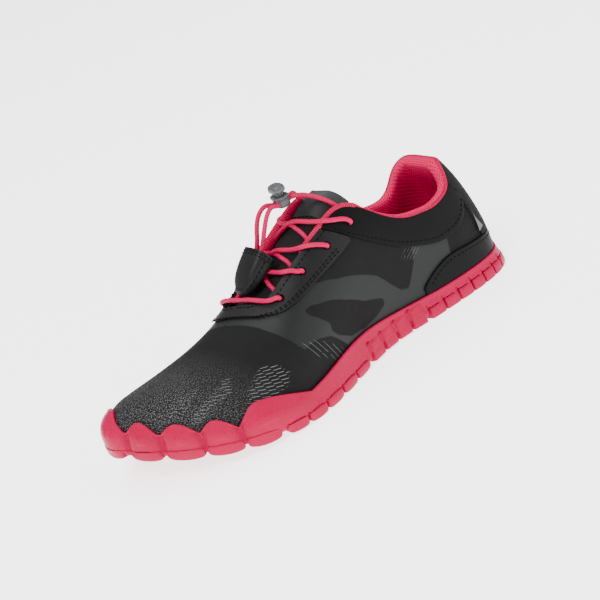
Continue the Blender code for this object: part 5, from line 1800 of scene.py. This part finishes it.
stitch_line(shape, path, (shell(seam[:, 0], seam[:, 1], -TONGUE_DROP + 0.001) - path) / 0.0008)

# The pocket's hem, and the seam along its side
POCKET_SKIN = 0.0001
HEM_SHARES = (0.07, 0.14)
SEAM_CORNER = 11
for share in HEM_SHARES:
    ring = pocket_loop(share, POCKET_SKIN)
    outwards = unit(ring - ring.mean(axis=0))
    stitch_line(shape, ring[7:34], outwards[7:34])
seam_shares = np.linspace(0.16, 0.92, 20)
seam = np.array([pocket_loop(share, POCKET_SKIN)[SEAM_CORNER] for share in seam_shares])
middles = np.array([pocket_loop(share).mean(axis=0) for share in seam_shares])
stitch_line(shape, seam, unit(seam - middles))
stitch_data = lofted_data("stitches", shape)
add_piece("stitches", stitch_data, thread.material)
print("stitches:", len(stitch_data.polygons), "faces")

# %% [markdown]
# ### Eyelets
# The holes are edged with a ring of close stitching. A thin torus lying on the overlay shows it,
# and the lace dives through its middle.

# %% Eyelet rings
RING_RADIUS = 0.0021
RING_THREAD = 0.00035
eyelet_rings = []
for station, rise in EYELETS:
    for at in (station, ROUND - station):
        centre = shell(at, rise, surface)
        normal = (shell(at, rise, surface + PROBE) - centre) / PROBE
        one = unit(np.cross(normal, (1.0, 0.0, 0.0)))
        two = np.cross(normal, one)
        turns = np.linspace(0, 2 * math.pi, 33)
        ring = np.array([centre + (one * math.cos(t) + two * math.sin(t)) * RING_RADIUS for t in turns])
        rings, uvs = sweep(ring, RING_THREAD, 8)
        name = f"eyelet_{len(eyelet_rings) + 1}"
        eyelet_rings.append(add_piece(name, grid_data(name, rings, uvs), thread.material))
print("eyelets:", len(eyelet_rings))

# %% [markdown]
# ### A reflective patch
# A small three-cornered patch on each side of the heel shines at night. It is a thin printed
# layer, so a grid a fifth of a millimetre above the knit carries it.

# %% Reflective print on the heel
# Corners in station and rise: top, lower front and lower rear
PATCH = ((1.47, 0.222), (1.36, 0.125), (1.60, 0.112))
PATCH_BOW = 0.07
PATCH_LIFT = 0.0002
(k0, r0), (k1, r1), (k2, r2) = PATCH
share = np.linspace(0, 1, 16)
bow = PATCH_BOW * np.sin(share * math.pi)
front_edge = np.stack([k0 + (k1 - k0) * share + bow, r0 + (r1 - r0) * share], -1)
rear_edge = np.stack([k0 + (k2 - k0) * share, r0 + (r2 - r0) * share], -1)
between = np.linspace(0, 1, 8)[None, :, None]
field = front_edge[:, None, :] * (1 - between) + rear_edge[:, None, :] * between
for side_name, stations in (("outer", field[..., 0]), ("inner", ROUND - field[..., 0])):
    points = shell(stations, field[..., 1], CLEARANCE + OVERLAY + PATCH_LIFT)
    name = f"reflector_{side_name}"
    add_piece(name, grid_data(name, points), silver.material)
print("patch:", round(run_length(points[:, 0])[-1] * 1000, 1), "mm tall")
